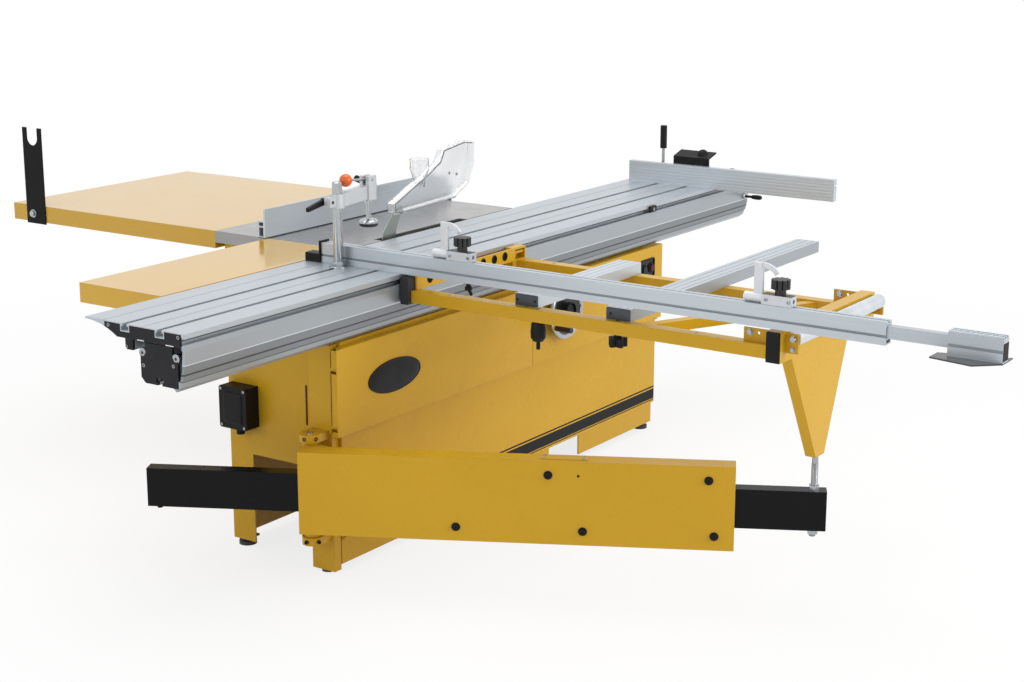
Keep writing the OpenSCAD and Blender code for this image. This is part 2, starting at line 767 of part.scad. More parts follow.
module hold_down_spindle() color(steel) place() {
  cyl_z(hold_x, head_y, [hold_z - 80, hold_z + 28], 8);
  cyl_z(hold_x, head_y, [hold_z - 30, hold_z - 19], 13);
  // Swivel pad: a cup over a ring of rubber
  translate([hold_x, head_y, hold_z - pad_drop]) rotate_extrude()
    polygon([[0, 0], [pad_r - 4, 0], [pad_r - 1, 3], [pad_r - 1, 8], [pad_r - 3, 9], [pad_r, 10],
      [pad_r, 16], [pad_r - 5, 20], [14, 24], [0, 24]]);
}

// Outrigger

module hollow_x(x, y, z, wall)
  difference() {
    block(x, y, z);
    block([x[0] - 1, x[1] + 1], [y[0] + wall, y[1] - wall], [z[0] + wall, z[1] - wall]);
  }
knob_x = -long_x;
grip_x = -short_x - 4;
module outrigger_frame() color(yellow) place() {
  difference() {
    hollow_x([-tube_x, rail_in], [near_y - rail_w, near_y], [rail_z0, rail_z1], 3);
    for (x = [knob_x, grip_x]) cyl_z(x, near_y - rail_w / 2, [rail_z0 - 1, rail_z1 + 1], 6 + run);
  }
  hollow_x([-tube_x, rail_in], [far_y0, far_y], [rail_z0, rail_z1], 3);
  // Diagonal brace welded between the rails
  translate([0, 0, rail_z0 + 4]) linear_extrude(rail_h - 8)
    polygon([[-1200, near_y - rail_w + 1], [-1236, near_y - rail_w + 1],
      [-1498, far_y - 1], [-1462, far_y - 1]]);
}
shoe_w = 66;
module side_rail() color(yellow) place() {
  x = [rail_in - 6, edge_out - 4];
  difference() {
    block([x[0], x[0] + 6], [far_y0, near_y - 20], [rail_z1, table_h - 5]);
    for (y = [582, 301, 239, 180])
      cyl_x([x[0] - 1, x[0] + 7], y, table_h - 24, 11);
    block([x[0] - 1, x[0] + 7], [far_y0 + 6, far_y0 + shoe_w - 6], [rail_z1 + 4, table_h - 12]);
  }
  block([x[0] + 5, edge_out + 6], [far_y0, near_y - 20], [side_slot_z - 4, side_slot_z + 4]);
  // Shoes that clamp the rails to the table's side slot, the far one open to the side
  block([rail_in, edge_out - 6], [near_y - rail_w, near_y + 16], [rail_z0 - 4, table_h - 6]);
  difference() {
    block([rail_in, edge_out - 6], [far_y0, far_y0 + shoe_w], [rail_z0 - 4, table_h - 6]);
    block([rail_in - 1, edge_out - 13], [far_y0 + 6, far_y0 + shoe_w - 6], [rail_z1 + 4, table_h - 12]);
  }
}
module outer_tube() color(yellow) place() {
  difference() {
    block([-tube_out, -tube_x], [far_y0, near_y], [tube_z0, tube_z1]);
    block([-tube_out + 3, -tube_x - 3], [far_y0 + 4, near_y - 4], [tube_z0 + 3, tube_z1 - 3]);
  }
  // Corner plates on top of the rails
  for (y = [near_y - 18, far_y - 18])
    difference() {
      block([-tube_x - 1, -tube_x + 76], [y - 5, y], [rail_z1, tube_z1 - 2]);
      for (x = [32, 57]) cyl_y(-tube_x + x, [y - 6, y + 1], rail_z1 + 26, 4.5);
    }
  // Roller brackets
  for (y = [near_y - 30, far_y0 + 24])
    difference() {
      block([-roller_x - 14, -tube_out + 1], [y - 6, y], [roller_z - 40, roller_z + 14]);
      cyl_y(-roller_x, [y - 7, y + 1], roller_z, 6 + run);
      cyl_y(-roller_x + 2, [y - 7, y + 1], roller_z - 30, 4.5);
    }
}
module outrigger_leg() color(yellow) place() {
  y_mid = rod_spot[1];
  difference() {
    along_x(-tube_mid - 16, -tube_mid + 16)
      polygon([[y_mid - 160, tube_z0], [y_mid + 210, tube_z0], [y_mid + 27, leg_z], [y_mid - 27, leg_z]]);
    along_x(-tube_mid - 12, -tube_mid + 17)
      polygon([[y_mid - 148, tube_z0 + 1], [y_mid + 196, tube_z0 + 1],
        [y_mid + 22, leg_z + 14], [y_mid - 22, leg_z + 14]]);
  }
}
rod_spot = [-pivot_x - strut_along * cos(arm_angle) - arm_off * sin(arm_angle),
  pivot_y - strut_along * sin(arm_angle) + arm_off * cos(arm_angle)];

module bar(x, y, lift)
  difference() {
    block([x, x + bar_w], y, [rail_z1 + lift, rail_z1 + lift + bar_h]);
    block([x + bar_w / 2 - 5, x + bar_w / 2 + 5], [y[0] - 1, y[1] + 1],
      [rail_z1 + lift - 1, rail_z1 + lift + 8]);
    for (s = [0.2, 0.5, 0.8])
      block([x + bar_w * s - 1.5, x + bar_w * s + 1.5], [y[0] - 1, y[1] + 1],
        [rail_z1 + lift + bar_h - 2, rail_z1 + lift + bar_h + 1]);
  }
module short_bar() color(alu) place() bar(-short_x, [far_y0, near_y - 25], 0);
module long_bar() color(alu) place() bar(knob_x - bar_w / 2, [-long_far, near_y - 22], gap);
module bar_knob() color(black) place() {
  y0 = near_y - rail_w / 2;
  cyl_z(knob_x, y0, [rail_z0 - 20, rail_z1 - 1], 6);
  cyl_z(knob_x, y0, [rail_z0 - 12, rail_z0 - gap], 11);
  translate([knob_x, y0, rail_z0 - 36])
    linear_extrude(25) {
      circle(17);
      for (i = [0:4]) rotate(i * 72) translate([19, 0]) circle(9);
    }
}
module grip_nut() color(black) place() {
  y0 = near_y - rail_w / 2;
  cyl_z(grip_x, y0, [rail_z0 - 84, rail_z1 - 1], 6);
  translate([grip_x, y0, rail_z0 - 59 - gap])
    rotate_extrude() polygon([[0, 0], [15, 0], [22, 10], [23, 30], [20, 54], [16, 59], [0, 59]]);
}
module loading_roller() color(steel) place() {
  y = [far_y0 + 24, near_y - 36];
  cyl_y(-roller_x, [y[0] + gap, y[1] - gap], roller_z, load_r);
  cyl_y(-roller_x, [y[0] - 8, y[1] + 8], roller_z, 6);
}

// Crosscut fence

chan_y = [fence_back + 6, cross_y - 6];
chan_z = [fence_z + 17, fence_z + cross_h - 11];
module crosscut_fence() color(alu) place() {
  x = [-cross_out - 1, -cross_in + 1];
  difference() {
    block([-cross_out, -cross_in], [fence_back, cross_y], [fence_z, fence_z + cross_h]);
    block(x, chan_y, chan_z);
    block(x, chan_y, [fence_z + 4, chan_z[0] - 4]);
    // Top slot and face grooves
    block(x, [cross_piv_y - 4, cross_piv_y + 4], [fence_z + cross_h - 6, fence_z + cross_h + 1]);
    block(x, [cross_y - 3, cross_y + 1], [fence_z + 20, fence_z + 27]);
    block(x, [fence_back - 1, fence_back + 3], [fence_z + 20, fence_z + 27]);
  }
  cyl_z(-cross_piv_x, cross_piv_y, [table_h - 11.5, fence_z + 1], 8);
}
module fence_end_block() color(black) place() {
  block([-cross_in, -cross_in + 5], [fence_back - 4, cross_y + 6], [fence_z, fence_z + cross_h + 6]);
  block([-cross_in + 5, -cross_in + 62], [cross_y - 22, cross_y + 4], [fence_z, fence_z + 52]);
}
module fence_extension() color(alu) place() {
  block([-reach + end_block - 1, -cross_out + ext_hold], [chan_y[0] + gap, chan_y[1] - gap],
    [chan_z[0] + gap, chan_z[1] - gap]);
  difference() {
    block([-reach, -reach + end_block], [fence_back, cross_y], [fence_z - 2, fence_z + cross_h - 2]);
    block([-reach - 1, -reach + end_block + 1], [cross_y - 3, cross_y + 1], [fence_z + 22, fence_z + 30]);
  }
  translate([0, 0, fence_z - 6]) linear_extrude(4.01)
    polygon([[-reach, cross_y], [-reach + 60, cross_y + 56], [-reach + 178, cross_y + 34],
      [-reach + 178, cross_y - 20], [-reach, fence_back - 36]]);
}

stop_z = fence_z + cross_h + gap;
flag_z = stop_z + 14;
module stop_body(x)
  difference() {
    union() {
      block([x - 54, x + 33], [fence_back + 2, cross_y - 2], [stop_z, stop_z + 28]);
      block([x - 30, x + 10], [cross_piv_y - 3.6, cross_piv_y + 3.6], [stop_z - 5, stop_z + 1]);
      // Clamping knob
      cyl_z(x - 15, cross_piv_y, [stop_z + 27, stop_z + 46], 15);
      translate([x - 15, cross_piv_y, stop_z + 45])
        linear_extrude(26) {
          circle(20);
          for (i = [0:9]) rotate(i * 36) translate([20, 0]) circle(6);
        }
    }
    cyl_x([x + 12, x + 34], cross_piv_y, flag_z, 5 + run);
    cyl_x([x - 55, x - 38], cross_piv_y, stop_z + 14, 6);
  }
// Flip-over stop, standing up
module stop_flag(x) {
  cyl_x([x + 14, x + 34], cross_piv_y, flag_z, 5);
  cyl_x([x + 33 + gap, x + 90], cross_piv_y, flag_z, 13);
  block([x + 35, x + 63], [cross_piv_y - 4, cross_piv_y + 4], [flag_z, stop_z + 110]);
  along_y(cross_piv_y - 4, cross_piv_y + 4)
    translate([x + 36, stop_z + 58]) arc_band(32, 40, 85, 140);
}
stop_x1 = -596;
stop_x2 = -1632;
module inner_stop() color(alu) place() stop_body(stop_x1);
module outer_stop() color(alu) place() stop_body(stop_x2);
module inner_stop_flag() color(alu) place() stop_flag(stop_x1);
module outer_stop_flag() color(alu) place() stop_flag(stop_x2);

// Swing arm

arm_y = [-arm_off - arm_t / 2, -arm_off + arm_t / 2];
roller_spots = [[448, -1], [716, 1], [817, -1], [1175, 1], [1194, -1]];
module swing_arm() color(yellow) place() on_arm()
  difference() {
    union() {
      block([-16, arm_len], arm_y, [arm_z, arm_z + arm_h]);
      cyl_z(0, 0, [ear_low + ear_t + gap, ear_top - gap], pin_r + 14);
      // Web from the hub to the arm, cut away where it passes the post
      translate([0, 0, arm_z + 6]) linear_extrude(arm_h - 12)
        polygon([[-pin_r - 4, arm_y[1] - 1], [60, arm_y[1] - 1], [60, -pin_r - 12],
          [pin_r + 12, 4], [-pin_r - 4, 4]]);
      // Cover plate on the top
      block([690, 830], [arm_y[0] + 14, arm_y[1] - 14], [arm_z + arm_h - 1, arm_z + arm_h + 2.5]);
    }
    block([-16 + arm_wall, arm_len - arm_wall], [arm_y[0] + arm_wall, arm_y[1] - arm_wall],
      [arm_z + arm_wall, arm_z + arm_h - arm_wall]);
    // Windows for the beam in both end plates
    block([-20, arm_len + 10], [-arm_off - beam_w / 2 - gap, -arm_off + beam_w / 2 + gap],
      [arm_mid - beam_h / 2 - gap, arm_mid + beam_h / 2 + gap]);
    cyl_z(0, 0, [0, 700], pin_r + run);
    for (p = roller_spots) cyl_y(p[0], [arm_y[0] - 1, arm_y[1] + 1], arm_mid + p[1] * arm_roller_z, 7);
    // Grease hole in the front wall
    cyl_y(803, [arm_y[0] - 1, arm_y[0] + arm_wall + 1], arm_mid + arm_roller_z, 4);
  }
module arm_rollers() color(black) place() on_arm()
  for (p = roller_spots) {
    z = arm_mid + p[1] * arm_roller_z;
    cyl_y(p[0], [-arm_off - beam_w / 2, -arm_off + beam_w / 2], z, arm_roller_r);
    cyl_y(p[0], [arm_y[0] - 4, arm_y[1]], z, 7);
    cyl_y(p[0], [arm_y[0] - 5, arm_y[0]], z, 11);
  }
module telescopic_beam() color(black) place() on_arm()
  difference() {
    union() {
      block([-beam_tail, beam_out], [-arm_off - beam_w / 2, -arm_off + beam_w / 2],
        [arm_mid - beam_h / 2, arm_mid + beam_h / 2]);
      cyl_z(-beam_tail + 30, -arm_off, [arm_mid - beam_h / 2 - 10, arm_mid - beam_h / 2 + 1], 8);
    }
    block([-beam_tail + 5, beam_out - 80], [-arm_off - beam_w / 2 + 4, -arm_off + beam_w / 2 - 4],
      [arm_mid - beam_h / 2 + 4, arm_mid + beam_h / 2 - 4]);
    cyl_z(strut_along, -arm_off, [0, 700], strut_r + run);
  }
module support_rod() color(steel) place() translate([rod_spot[0], rod_spot[1], 0]) {
  cyl_z(0, 0, [arm_mid - beam_h / 2 - 22, leg_z - gap], strut_r);
  for (z = [arm_mid + beam_h / 2 + gap, arm_mid - beam_h / 2 - gap - 14])
    translate([0, 0, z]) cylinder(r = 16, h = 14, $fn = 6);
}

// Saw unit

trunnion_y = 330;
trunnion_r = 172;
module arc_band(r0, r1, a0, a1)
  intersection() {
    difference() {
      circle(r1, $fn = 128);
      circle(r0, $fn = 128);
    }
    polygon([[0, 0], for (i = [0:6]) 2 * r1 * [cos(a0 + (a1 - a0) * i / 6), sin(a0 + (a1 - a0) * i / 6)]]);
  }
unit_x = [60, 240];
unit_drop = 470;
column_x = 150;
module tilt_frame() color("dimgray") place() {
  low = table_h - unit_drop;
  between = [-trunnion_y + 12, trunnion_y - 12];
  for (s = [-1, 1]) {
    translate([0, s * trunnion_y, table_h])
      along_y(-12, 12) arc_band(trunnion_r - 22, trunnion_r, 270, 330);
    translate([0, s * (trunnion_y - 24), 0]) along_y(-12.5, 12.5)
      polygon([[10, table_h - 138], [10, table_h - 178], [unit_x[0], low], [unit_x[1], low],
        [unit_x[1], table_h - 182], [132, table_h - 80], [118, table_h - 88]]);
  }
  block([unit_x[1] - 20, unit_x[1]], between, [low, low + 30]);
  block([unit_x[1] - 14, unit_x[1]], between, [table_h - 202, table_h - 180]);
  block([column_x - 30, unit_x[1] - 1], [-140, 140], [low, low + 15]);
  for (y = [-100, 100]) cyl_z(column_x, y, [low + 14, table_h - 90], column_r);
}
module lift_block() color("dimgray") place()
  difference() {
    union() {
      block([unit_x[0] + 40, unit_x[1] - 50], [-140, 140], [arbor_z - 150, arbor_z - 50]);
      cyl_x([12, 185], 0, arbor_z, arbor_r + 21);
      block([unit_x[0] - 20, unit_x[1] - 60], [-30, 30], [arbor_z - 60, arbor_z]);
      // Knife clamp
      block([knife_t / 2, 60], [172, 215], [arbor_z - 70, arbor_z - 30]);
      block([40, unit_x[0] + 60], [120, 180], [arbor_z - 70, arbor_z - 51]);
    }
    for (y = [-100, 100]) cyl_z(column_x, y, [0, 1000], column_r + run);
    cyl_x([11, 186], 0, arbor_z, arbor_r + run);
  }
knife_t = 2.8;
motor_z = arbor_z - 205;
pulley_x = [unit_x[1] - 46, unit_x[1] - 18];
pulley_r = 34;
module drive_motor() color("dimgray") place() {
  x0 = unit_x[1] + 14;
  cyl_x([x0, x0 + 230], 0, motor_z, motor_r);
  cyl_x([x0 + 229, x0 + 262], 0, motor_z, motor_r - 8);
  for (i = [0:23]) rotate_about_x(0, motor_z, i * 15)
    block([x0 + 20, x0 + 210], [-2, 2], [motor_z + motor_r - 2, motor_z + motor_r + 8]);
  // Foot bolted under the lift block
  block([unit_x[0] + 45, pulley_x[0] - 4], [-62, 62], [arbor_z - 166, arbor_z - 150]);
  for (s = [-1, 1])
    block([pulley_x[0] - 8, x0 + 40], [s * 56 - 6, s * 56 + 6], [motor_z + 30, arbor_z - 150]);
  cyl_x([pulley_x[0], x0 + 1], 0, motor_z, 14);
  cyl_x(pulley_x, 0, motor_z, pulley_r);
}
module rotate_about_x(y, z, a) translate([0, y, z]) rotate([a, 0, 0]) translate([0, -y, -z]) children();
module belt_outline(r) {
  translate([0, arbor_z]) circle(r);
  translate([0, motor_z]) circle(r);
  rect([-r, r], [motor_z, arbor_z]);
}
module drive_belt() color(black) place()
  along_x(pulley_x[0] + 3, pulley_x[1] - 3)
    difference() {
      belt_outline(pulley_r + 4);
      belt_outline(pulley_r);
    }
module saw_blade() color(steel) place() {
  r = blade_d / 2;
  along_x(-blade_t / 2, blade_t / 2) translate([0, arbor_z]) {
    circle(r - 8, $fn = 128);
    for (i = [0:teeth - 1]) rotate(i * 360 / teeth)
      polygon([[-3, r - 12], [7, r - 12], [5, r - 3], [-3, r]]);
  }
  cyl_x([-18, unit_x[1] - 20], 0, arbor_z, arbor_r);
  cyl_x([-14, -blade_t / 2], 0, arbor_z, 32);
  cyl_x([blade_t / 2, 11], 0, arbor_z, 32);
  cyl_x(pulley_x, 0, arbor_z, pulley_r);
}
knife_pin = [176, table_h + 80];
module riving_knife() color(steel) place()
  difference() {
    along_x(-knife_t / 2, knife_t / 2)
      difference() {
        polygon([[158, arbor_z - 66], [208, arbor_z - 66], [232, arbor_z + 60], [262, table_h - 4],
          [258, table_h + 20], [198, table_h + 84], [165, table_h + 96], [152, table_h + 92],
          [188, table_h + 20], [190, table_h - 4]]);
        translate([0, arbor_z]) circle(blade_d / 2 + 6, $fn = 128);
      }
    cyl_x([-5, 5], knife_pin[0], knife_pin[1], 5 + run);
  }
guard_side = [[200, 76], [200, 104], [-40, 158], [-66, 208], [-89, 254], [-215, 269], [-258, 259],
  [-258, 191], [-203, 106], [-155, 84]];
module blade_guard() color([0.85, 0.9, 0.9, 0.4]) place() {
  difference() {
    translate([0, 0, table_h]) along_x(-guard_half, guard_half) polygon(guard_side);
    // Hollow, open below
    translate([0, 0, table_h]) along_x(-guard_half + guard_wall, guard_half - guard_wall)
      polygon([[210, 60], [210, 94.4], [-44, 152], [-70, 203], [-92, 248], [-213, 263], [-252, 255],
        [-252, 193], [-199, 109], [-150, 70]]);
    cyl_z(0, port_y, [table_h + 60, table_h + 300], port_neck - guard_wall);
  }
  // Dust port: a cone that opens into a straight spigot
  difference() {
    translate([0, port_y, port_z]) rotate_extrude()
      polygon([[port_neck - guard_wall, 0], [port_neck, 0], [port_r, port_cone], [port_r, port_cone + port_len],
        [port_r - guard_wall, port_cone + port_len], [port_r - guard_wall, port_cone]]);
    translate([0, 0, table_h]) along_x(-guard_half - 1, guard_half + 1)
      polygon([[194, 0], [194, 98], [-44, 152], [-44, 0]]);
  }
  cyl_x([-guard_half + 1, guard_half - 1], knife_pin[0], knife_pin[1], 5);
}
port_y = 55;
port_z = table_h + 118;
port_neck = 27;
port_cone = 76;
port_len = 46;

// Rip fence

module rip_fence() color(alu) place() {
  y = [-main_front, main_rear + 12];
  x1 = rip_x + rip_foot_w;
  z0 = table_h + gap;
  difference() {
    union() {
      block([rip_x, rip_x + 6], y, [z0, z0 + rip_h]);
      block([rip_x + 5, x1], y, [z0, z0 + rip_foot_h]);
    }
    block([rip_x + 8, x1 - 4], [y[0] - 1, y[1] + 1], [z0 + 6, z0 + rip_foot_h - 22]);
    block([rip_x + 8, x1 - 4], [y[0] - 1, y[1] + 1], [z0 + rip_foot_h - 17, z0 + rip_foot_h - 5]);
  }
  // Carriage on the guide rail and its arm behind the profile
  difference() {
    union() {
      block([x1, x1 + 50], [guide_y - 45, -90], [z0, z0 + 70]);
      block([x1 - 20, x1 + 90], [guide_y - 45, -main_front - 8], [guide_z - guide_r - 12, z0 + 40]);
      block([rip_lever[0] - 15, rip_lever[0] + 15], [rip_lever[1] - 13, rip_lever[1] + 13],
        [z0 + 69, z0 + 98]);
    }
    block([rip_lever[0] - 6 - gap, rip_lever[0] + 6 + gap], [rip_lever[1] - 14, rip_lever[1] + 14],
      [z0 + 74, z0 + 99]);
    cyl_x([rip_lever[0] - 16, rip_lever[0] + 16], rip_lever[1], rip_lever[2], 5 + run);
    cyl_x([x1 - 40, x1 + 120], guide_y, guide_z, guide_r + run);
    block([x1 - 40, x1 + 120], [guide_y, -main_front], [0, guide_z + 11]);
  }
}

rip_lever = [rip_x + rip_foot_w + 25, -150, table_h + gap + 86];
module rip_fence_lever() color(black) place() translate(rip_lever) {
  rotate([0, 90, 0]) translate([0, 0, -15]) cylinder(r = 5, h = 30);
  rotate([0, 90, 0]) translate([0, 0, -6]) cylinder(r = 10, h = 12);
  rotate([-65, 0, 0]) cylinder(r = 5, h = 40);
  rotate([-65, 0, 0]) translate([0, 0, 30]) cylinder(r1 = 9, r2 = 12, h = 62);
}

base_frame();
saw_cabinet();
corner_post();
hinge_pin();
levelling_feet();
junction_box();
main_table();
extension_table();
table_supports();
outfeed_table();
hose_fork();
guide_rail();
base_beam();
base_end_caps();
guide_rods();
side_door();
start_button();
stop_button();
lift_handwheel();
tilt_handwheel();
roller_carriage();
sliding_table();
table_end_caps();
end_fence();
push_grip();
end_fence_lever();
hold_down_post();
hold_down_arm();
hold_down_handle();
hold_down_lever();
hold_down_spindle();
outrigger_frame();
side_rail();
outer_tube();
outrigger_leg();
short_bar();
long_bar();
bar_knob();
grip_nut();
loading_roller();
crosscut_fence();
fence_end_block();
fence_extension();
inner_stop();
outer_stop();
inner_stop_flag();
outer_stop_flag();
swing_arm();
arm_rollers();
telescopic_beam();
support_rod();
tilt_frame();
lift_block();
drive_motor();
drive_belt();
saw_blade();
riving_knife();
blade_guard();
rip_fence();
rip_fence_lever();
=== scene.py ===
"""Sliding table saw: finishes, small fittings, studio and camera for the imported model."""
import math

import bmesh
import bpy
from mathutils import Matrix, Vector


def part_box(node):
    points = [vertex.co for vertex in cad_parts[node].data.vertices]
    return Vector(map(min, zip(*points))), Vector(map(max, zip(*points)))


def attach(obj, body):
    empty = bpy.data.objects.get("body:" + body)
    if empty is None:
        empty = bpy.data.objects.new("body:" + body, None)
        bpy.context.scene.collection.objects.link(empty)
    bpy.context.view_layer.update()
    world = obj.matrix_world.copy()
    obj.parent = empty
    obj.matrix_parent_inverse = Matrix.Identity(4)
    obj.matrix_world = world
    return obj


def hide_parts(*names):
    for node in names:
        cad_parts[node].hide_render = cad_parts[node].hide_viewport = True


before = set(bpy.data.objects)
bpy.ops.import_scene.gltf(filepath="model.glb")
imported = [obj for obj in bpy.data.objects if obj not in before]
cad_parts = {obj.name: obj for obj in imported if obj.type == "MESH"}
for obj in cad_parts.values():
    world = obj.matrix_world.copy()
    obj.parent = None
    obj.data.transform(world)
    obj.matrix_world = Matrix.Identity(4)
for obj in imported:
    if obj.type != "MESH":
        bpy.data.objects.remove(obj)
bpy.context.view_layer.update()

MM = 0.001

# The drawing has its X origin in the blade's plane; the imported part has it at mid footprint.
BLADE_X = sum(corner[0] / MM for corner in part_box("riving_knife")) / 2


def edge(node, axis, end):
    """Low (0) or high (1) side of a node along x, y or z, in the drawing's millimetres."""
    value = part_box(node)[end]["xyz".index(axis)] / MM
    return value - BLADE_X if axis == "x" else value


def ends(node, axis):
    """Both sides of a node along an axis."""
    return edge(node, axis, 0), edge(node, axis, 1)


def mid(node, axis):
    """Middle of a node along an axis."""
    return sum(ends(node, axis)) / 2


TABLE_Z = edge("main_table", "z", 1)


def at(x, y, z):
    """Point given in the drawing's millimetres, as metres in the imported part."""
    return Vector(((x + BLADE_X) * MM, y * MM, z * MM))


# Node helpers for the procedural materials

# How far the softened normal leaves the flat one where a painted edge highlight (with wear on enamel)
# starts and where it is full
EDGE_RISE = (0.02, 0.2)


class Nodes:
    """Small wrapper that builds one material's node tree."""

    def __init__(self, name):
        self.mat = bpy.data.materials.new(name)
        self.mat.use_nodes = True
        self.tree = self.mat.node_tree
        self.tree.nodes.clear()
        self.out = self.add("ShaderNodeOutputMaterial")
        self.bsdf = self.add("ShaderNodeBsdfPrincipled")
        self.link(self.bsdf.outputs["BSDF"], self.out.inputs["Surface"])
        self.coord = self.add("ShaderNodeTexCoord").outputs["Object"]
        self.xyz = None

    def add(self, kind):
        return self.tree.nodes.new(kind)

    def link(self, a, b):
        self.tree.links.new(a, b)

    def set(self, **values):
        """Set constant values on the shader's own sockets."""
        for key, value in values.items():
            self.bsdf.inputs[key.replace("_", " ")].default_value = value

    def value(self, socket, source):
        """Give a socket a number, or link what feeds it."""
        if isinstance(source, (int, float)):
            socket.default_value = source
        else:
            self.link(source, socket)

    def math(self, op, a, b=0.0):
        node = self.add("ShaderNodeMath")
        node.operation = op
        self.value(node.inputs[0], a)
        self.value(node.inputs[1], b)
        return node.outputs[0]

    def axis(self, letter):
        """One coordinate of the surface point, in metres."""
        if self.xyz is None:
            self.xyz = self.add("ShaderNodeSeparateXYZ")
            self.link(self.coord, self.xyz.inputs[0])
        return self.xyz.outputs["xyz".index(letter)]

    def scaled(self, scale):
        """Surface coordinates stretched along each axis."""
        node = self.add("ShaderNodeMapping")
        node.inputs["Scale"].default_value = scale
        self.link(self.coord, node.inputs["Vector"])
        return node.outputs[0]

    def noise(self, scale, detail=4.0, rough=0.55, vector=None):
        node = self.add("ShaderNodeTexNoise")
        node.inputs["Scale"].default_value = scale
        node.inputs["Detail"].default_value = detail
        node.inputs["Roughness"].default_value = rough
        self.link(self.coord if vector is None else vector, node.inputs["Vector"])
        return node.outputs["Fac"]

    def span(self, source, low, high, to_low=0.0, to_high=1.0):
        """Map low to high of a source onto another range."""
        node = self.add("ShaderNodeMapRange")
        node.inputs["From Min"].default_value = low
        node.inputs["From Max"].default_value = high
        self.value(node.inputs["To Min"], to_low)
        self.value(node.inputs["To Max"], to_high)
        self.link(source, node.inputs["Value"])
        return node.outputs["Result"]

    def mix(self, fac, a, b):
        """Blend two colours, each given as numbers or as a socket."""
        node = self.add("ShaderNodeMix")
        node.data_type = "RGBA"
        self.value(node.inputs["Factor"], fac)
        for socket, colour in ((node.inputs["A"], a), (node.inputs["B"], b)):
            if isinstance(colour, (tuple, list)):
                socket.default_value = (*colour[:3], 1.0)
            else:
                self.link(colour, socket)
        return node.outputs["Result"]

    def soft_edges(self, radius):
        """Normal rounded over corners within a radius in millimetres."""
        node = self.add("ShaderNodeBevel")
        node.samples = 4
        node.inputs["Radius"].default_value = radius * MM
        return node.outputs["Normal"]

    def edge_mask(self, soft):
        """Rises on corners, where the softened normal leaves the flat one."""
        flat = self.add("ShaderNodeNewGeometry").outputs["Normal"]
        dot = self.add("ShaderNodeVectorMath")
        dot.operation = "DOT_PRODUCT"
        self.link(soft, dot.inputs[0])
        self.link(flat, dot.inputs[1])
        return self.span(self.math("SUBTRACT", 1.0, dot.outputs["Value"]), *EDGE_RISE)

    def bump(self, height, strength, distance, normal):
        """Raise the surface by a height and connect the normal."""
        node = self.add("ShaderNodeBump")
        node.inputs["Strength"].default_value = strength
        node.inputs["Distance"].default_value = distance
        self.link(height, node.inputs["Height"])
        self.link(normal, node.inputs["Normal"])
        self.link(node.outputs["Normal"], self.bsdf.inputs["Normal"])

    def finish(self, tone, rough, metal, layers):
        """Lay (mask, colour, roughness, metallic) layers over a base finish and connect it."""
        for mask, shade, layer_rough, layer_metal in layers:
            fac = mask(self)
            tone = self.mix(fac, tone, shade)
            rough = self.span(fac, 0.0, 1.0, rough, layer_rough)
            if layer_metal != metal:
                metal = self.span(fac, 0.0, 1.0, metal, layer_metal)
        self.link(tone, self.bsdf.inputs["Base Color"])
        self.value(self.bsdf.inputs["Roughness"], rough)
        self.value(self.bsdf.inputs["Metallic"], metal)
        return self.mat


def zone(**spans):
    """Mask of a box: x, y and z spans in the drawing's millimetres, None for an open side."""
    def mask(n):
        result = None
        for letter, bounds in spans.items():
            shift = BLADE_X if letter == "x" else 0.0
            for bound, op in zip(bounds, ("GREATER_THAN", "LESS_THAN")):
                if bound is None:
                    continue
                test = n.math(op, n.axis(letter), (bound + shift) * MM)
                result = test if result is None else n.math("MULTIPLY", result, test)
        return result
    return mask


def round_zone(radius, **centre):
    """Mask of a round rod along the axis that is not named, in the drawing's millimetres."""
    def mask(n):
        total = 0.0
        for letter, value in centre.items():
            shift = BLADE_X if letter == "x" else 0.0
            away = n.math("SUBTRACT", n.axis(letter), (value + shift) * MM)
            total = n.math("ADD", n.math("MULTIPLY", away, away), total)
        return n.math("LESS_THAN", total, (radius * MM) ** 2)
    return mask


def shaded(colour, factor, lift=0.0):
    """Colour made darker or lighter by a factor, then lifted."""
    return tuple(min(1.0, c * factor + lift) for c in colour)


def enamel(name, base, layers=(), rough=(0.22, 0.32), ior=1.3, coat=0.0):
    """Stove enamel over folded sheet: faint clouding, orange peel, edges painted paler as wear and as
    a painted highlight.
    """
    n = Nodes(name)
    soft = n.soft_edges(1.6)
    tone = n.mix(n.span(n.noise(2.3, 3.0), 0.3, 0.7), shaded(base, 0.97), shaded(base, 1.02))
    # Edges painted paler: partly wear, partly a painted highlight
    wear_and_highlight = n.math("MULTIPLY", n.edge_mask(soft), n.span(n.noise(60.0, 3.0), 0.45, 0.65))
    tone = n.mix(n.math("MULTIPLY", wear_and_highlight, 0.2), tone, shaded(base, 1.12, 0.03))
    gloss = n.span(n.noise(6.0, 6.0), 0.3, 0.7, *rough)
    n.set(IOR=ior, Coat_Weight=coat, Coat_Roughness=0.05)
    n.bump(n.noise(420.0, 2.0), 0.05, 0.0006, soft)
    return n.finish(tone, gloss, 0.0, layers)


def brushed(name, base, along, layers=(), rough=(0.30, 0.42), metal=0.55):
    """Extruded aluminium: die lines along one axis, slight clouding, edges painted bright as a
    highlight.
    """
    n = Nodes(name)
    soft = n.soft_edges(0.9)
    stretch = [900.0, 900.0, 900.0]
    stretch["xyz".index(along)] = 1.5
    lines = n.noise(1.0, 3.0, 0.6, n.scaled(stretch))
    tone = n.mix(n.span(lines, 0.35, 0.65), shaded(base, 0.95), shaded(base, 1.03))
    tone = n.mix(n.span(n.noise(3.0, 4.0), 0.4, 0.8, 0.0, 0.2), tone, shaded(base, 0.92))
    # Edges painted brighter as a highlight
    tone = n.mix(n.math("MULTIPLY", n.edge_mask(soft), 0.5), tone, shaded(base, 1.15))
    n.set(IOR=1.5)
    n.bump(lines, 0.06, 0.0004, soft)
    return n.finish(tone, n.span(lines, 0.3, 0.7, *rough), metal, layers)


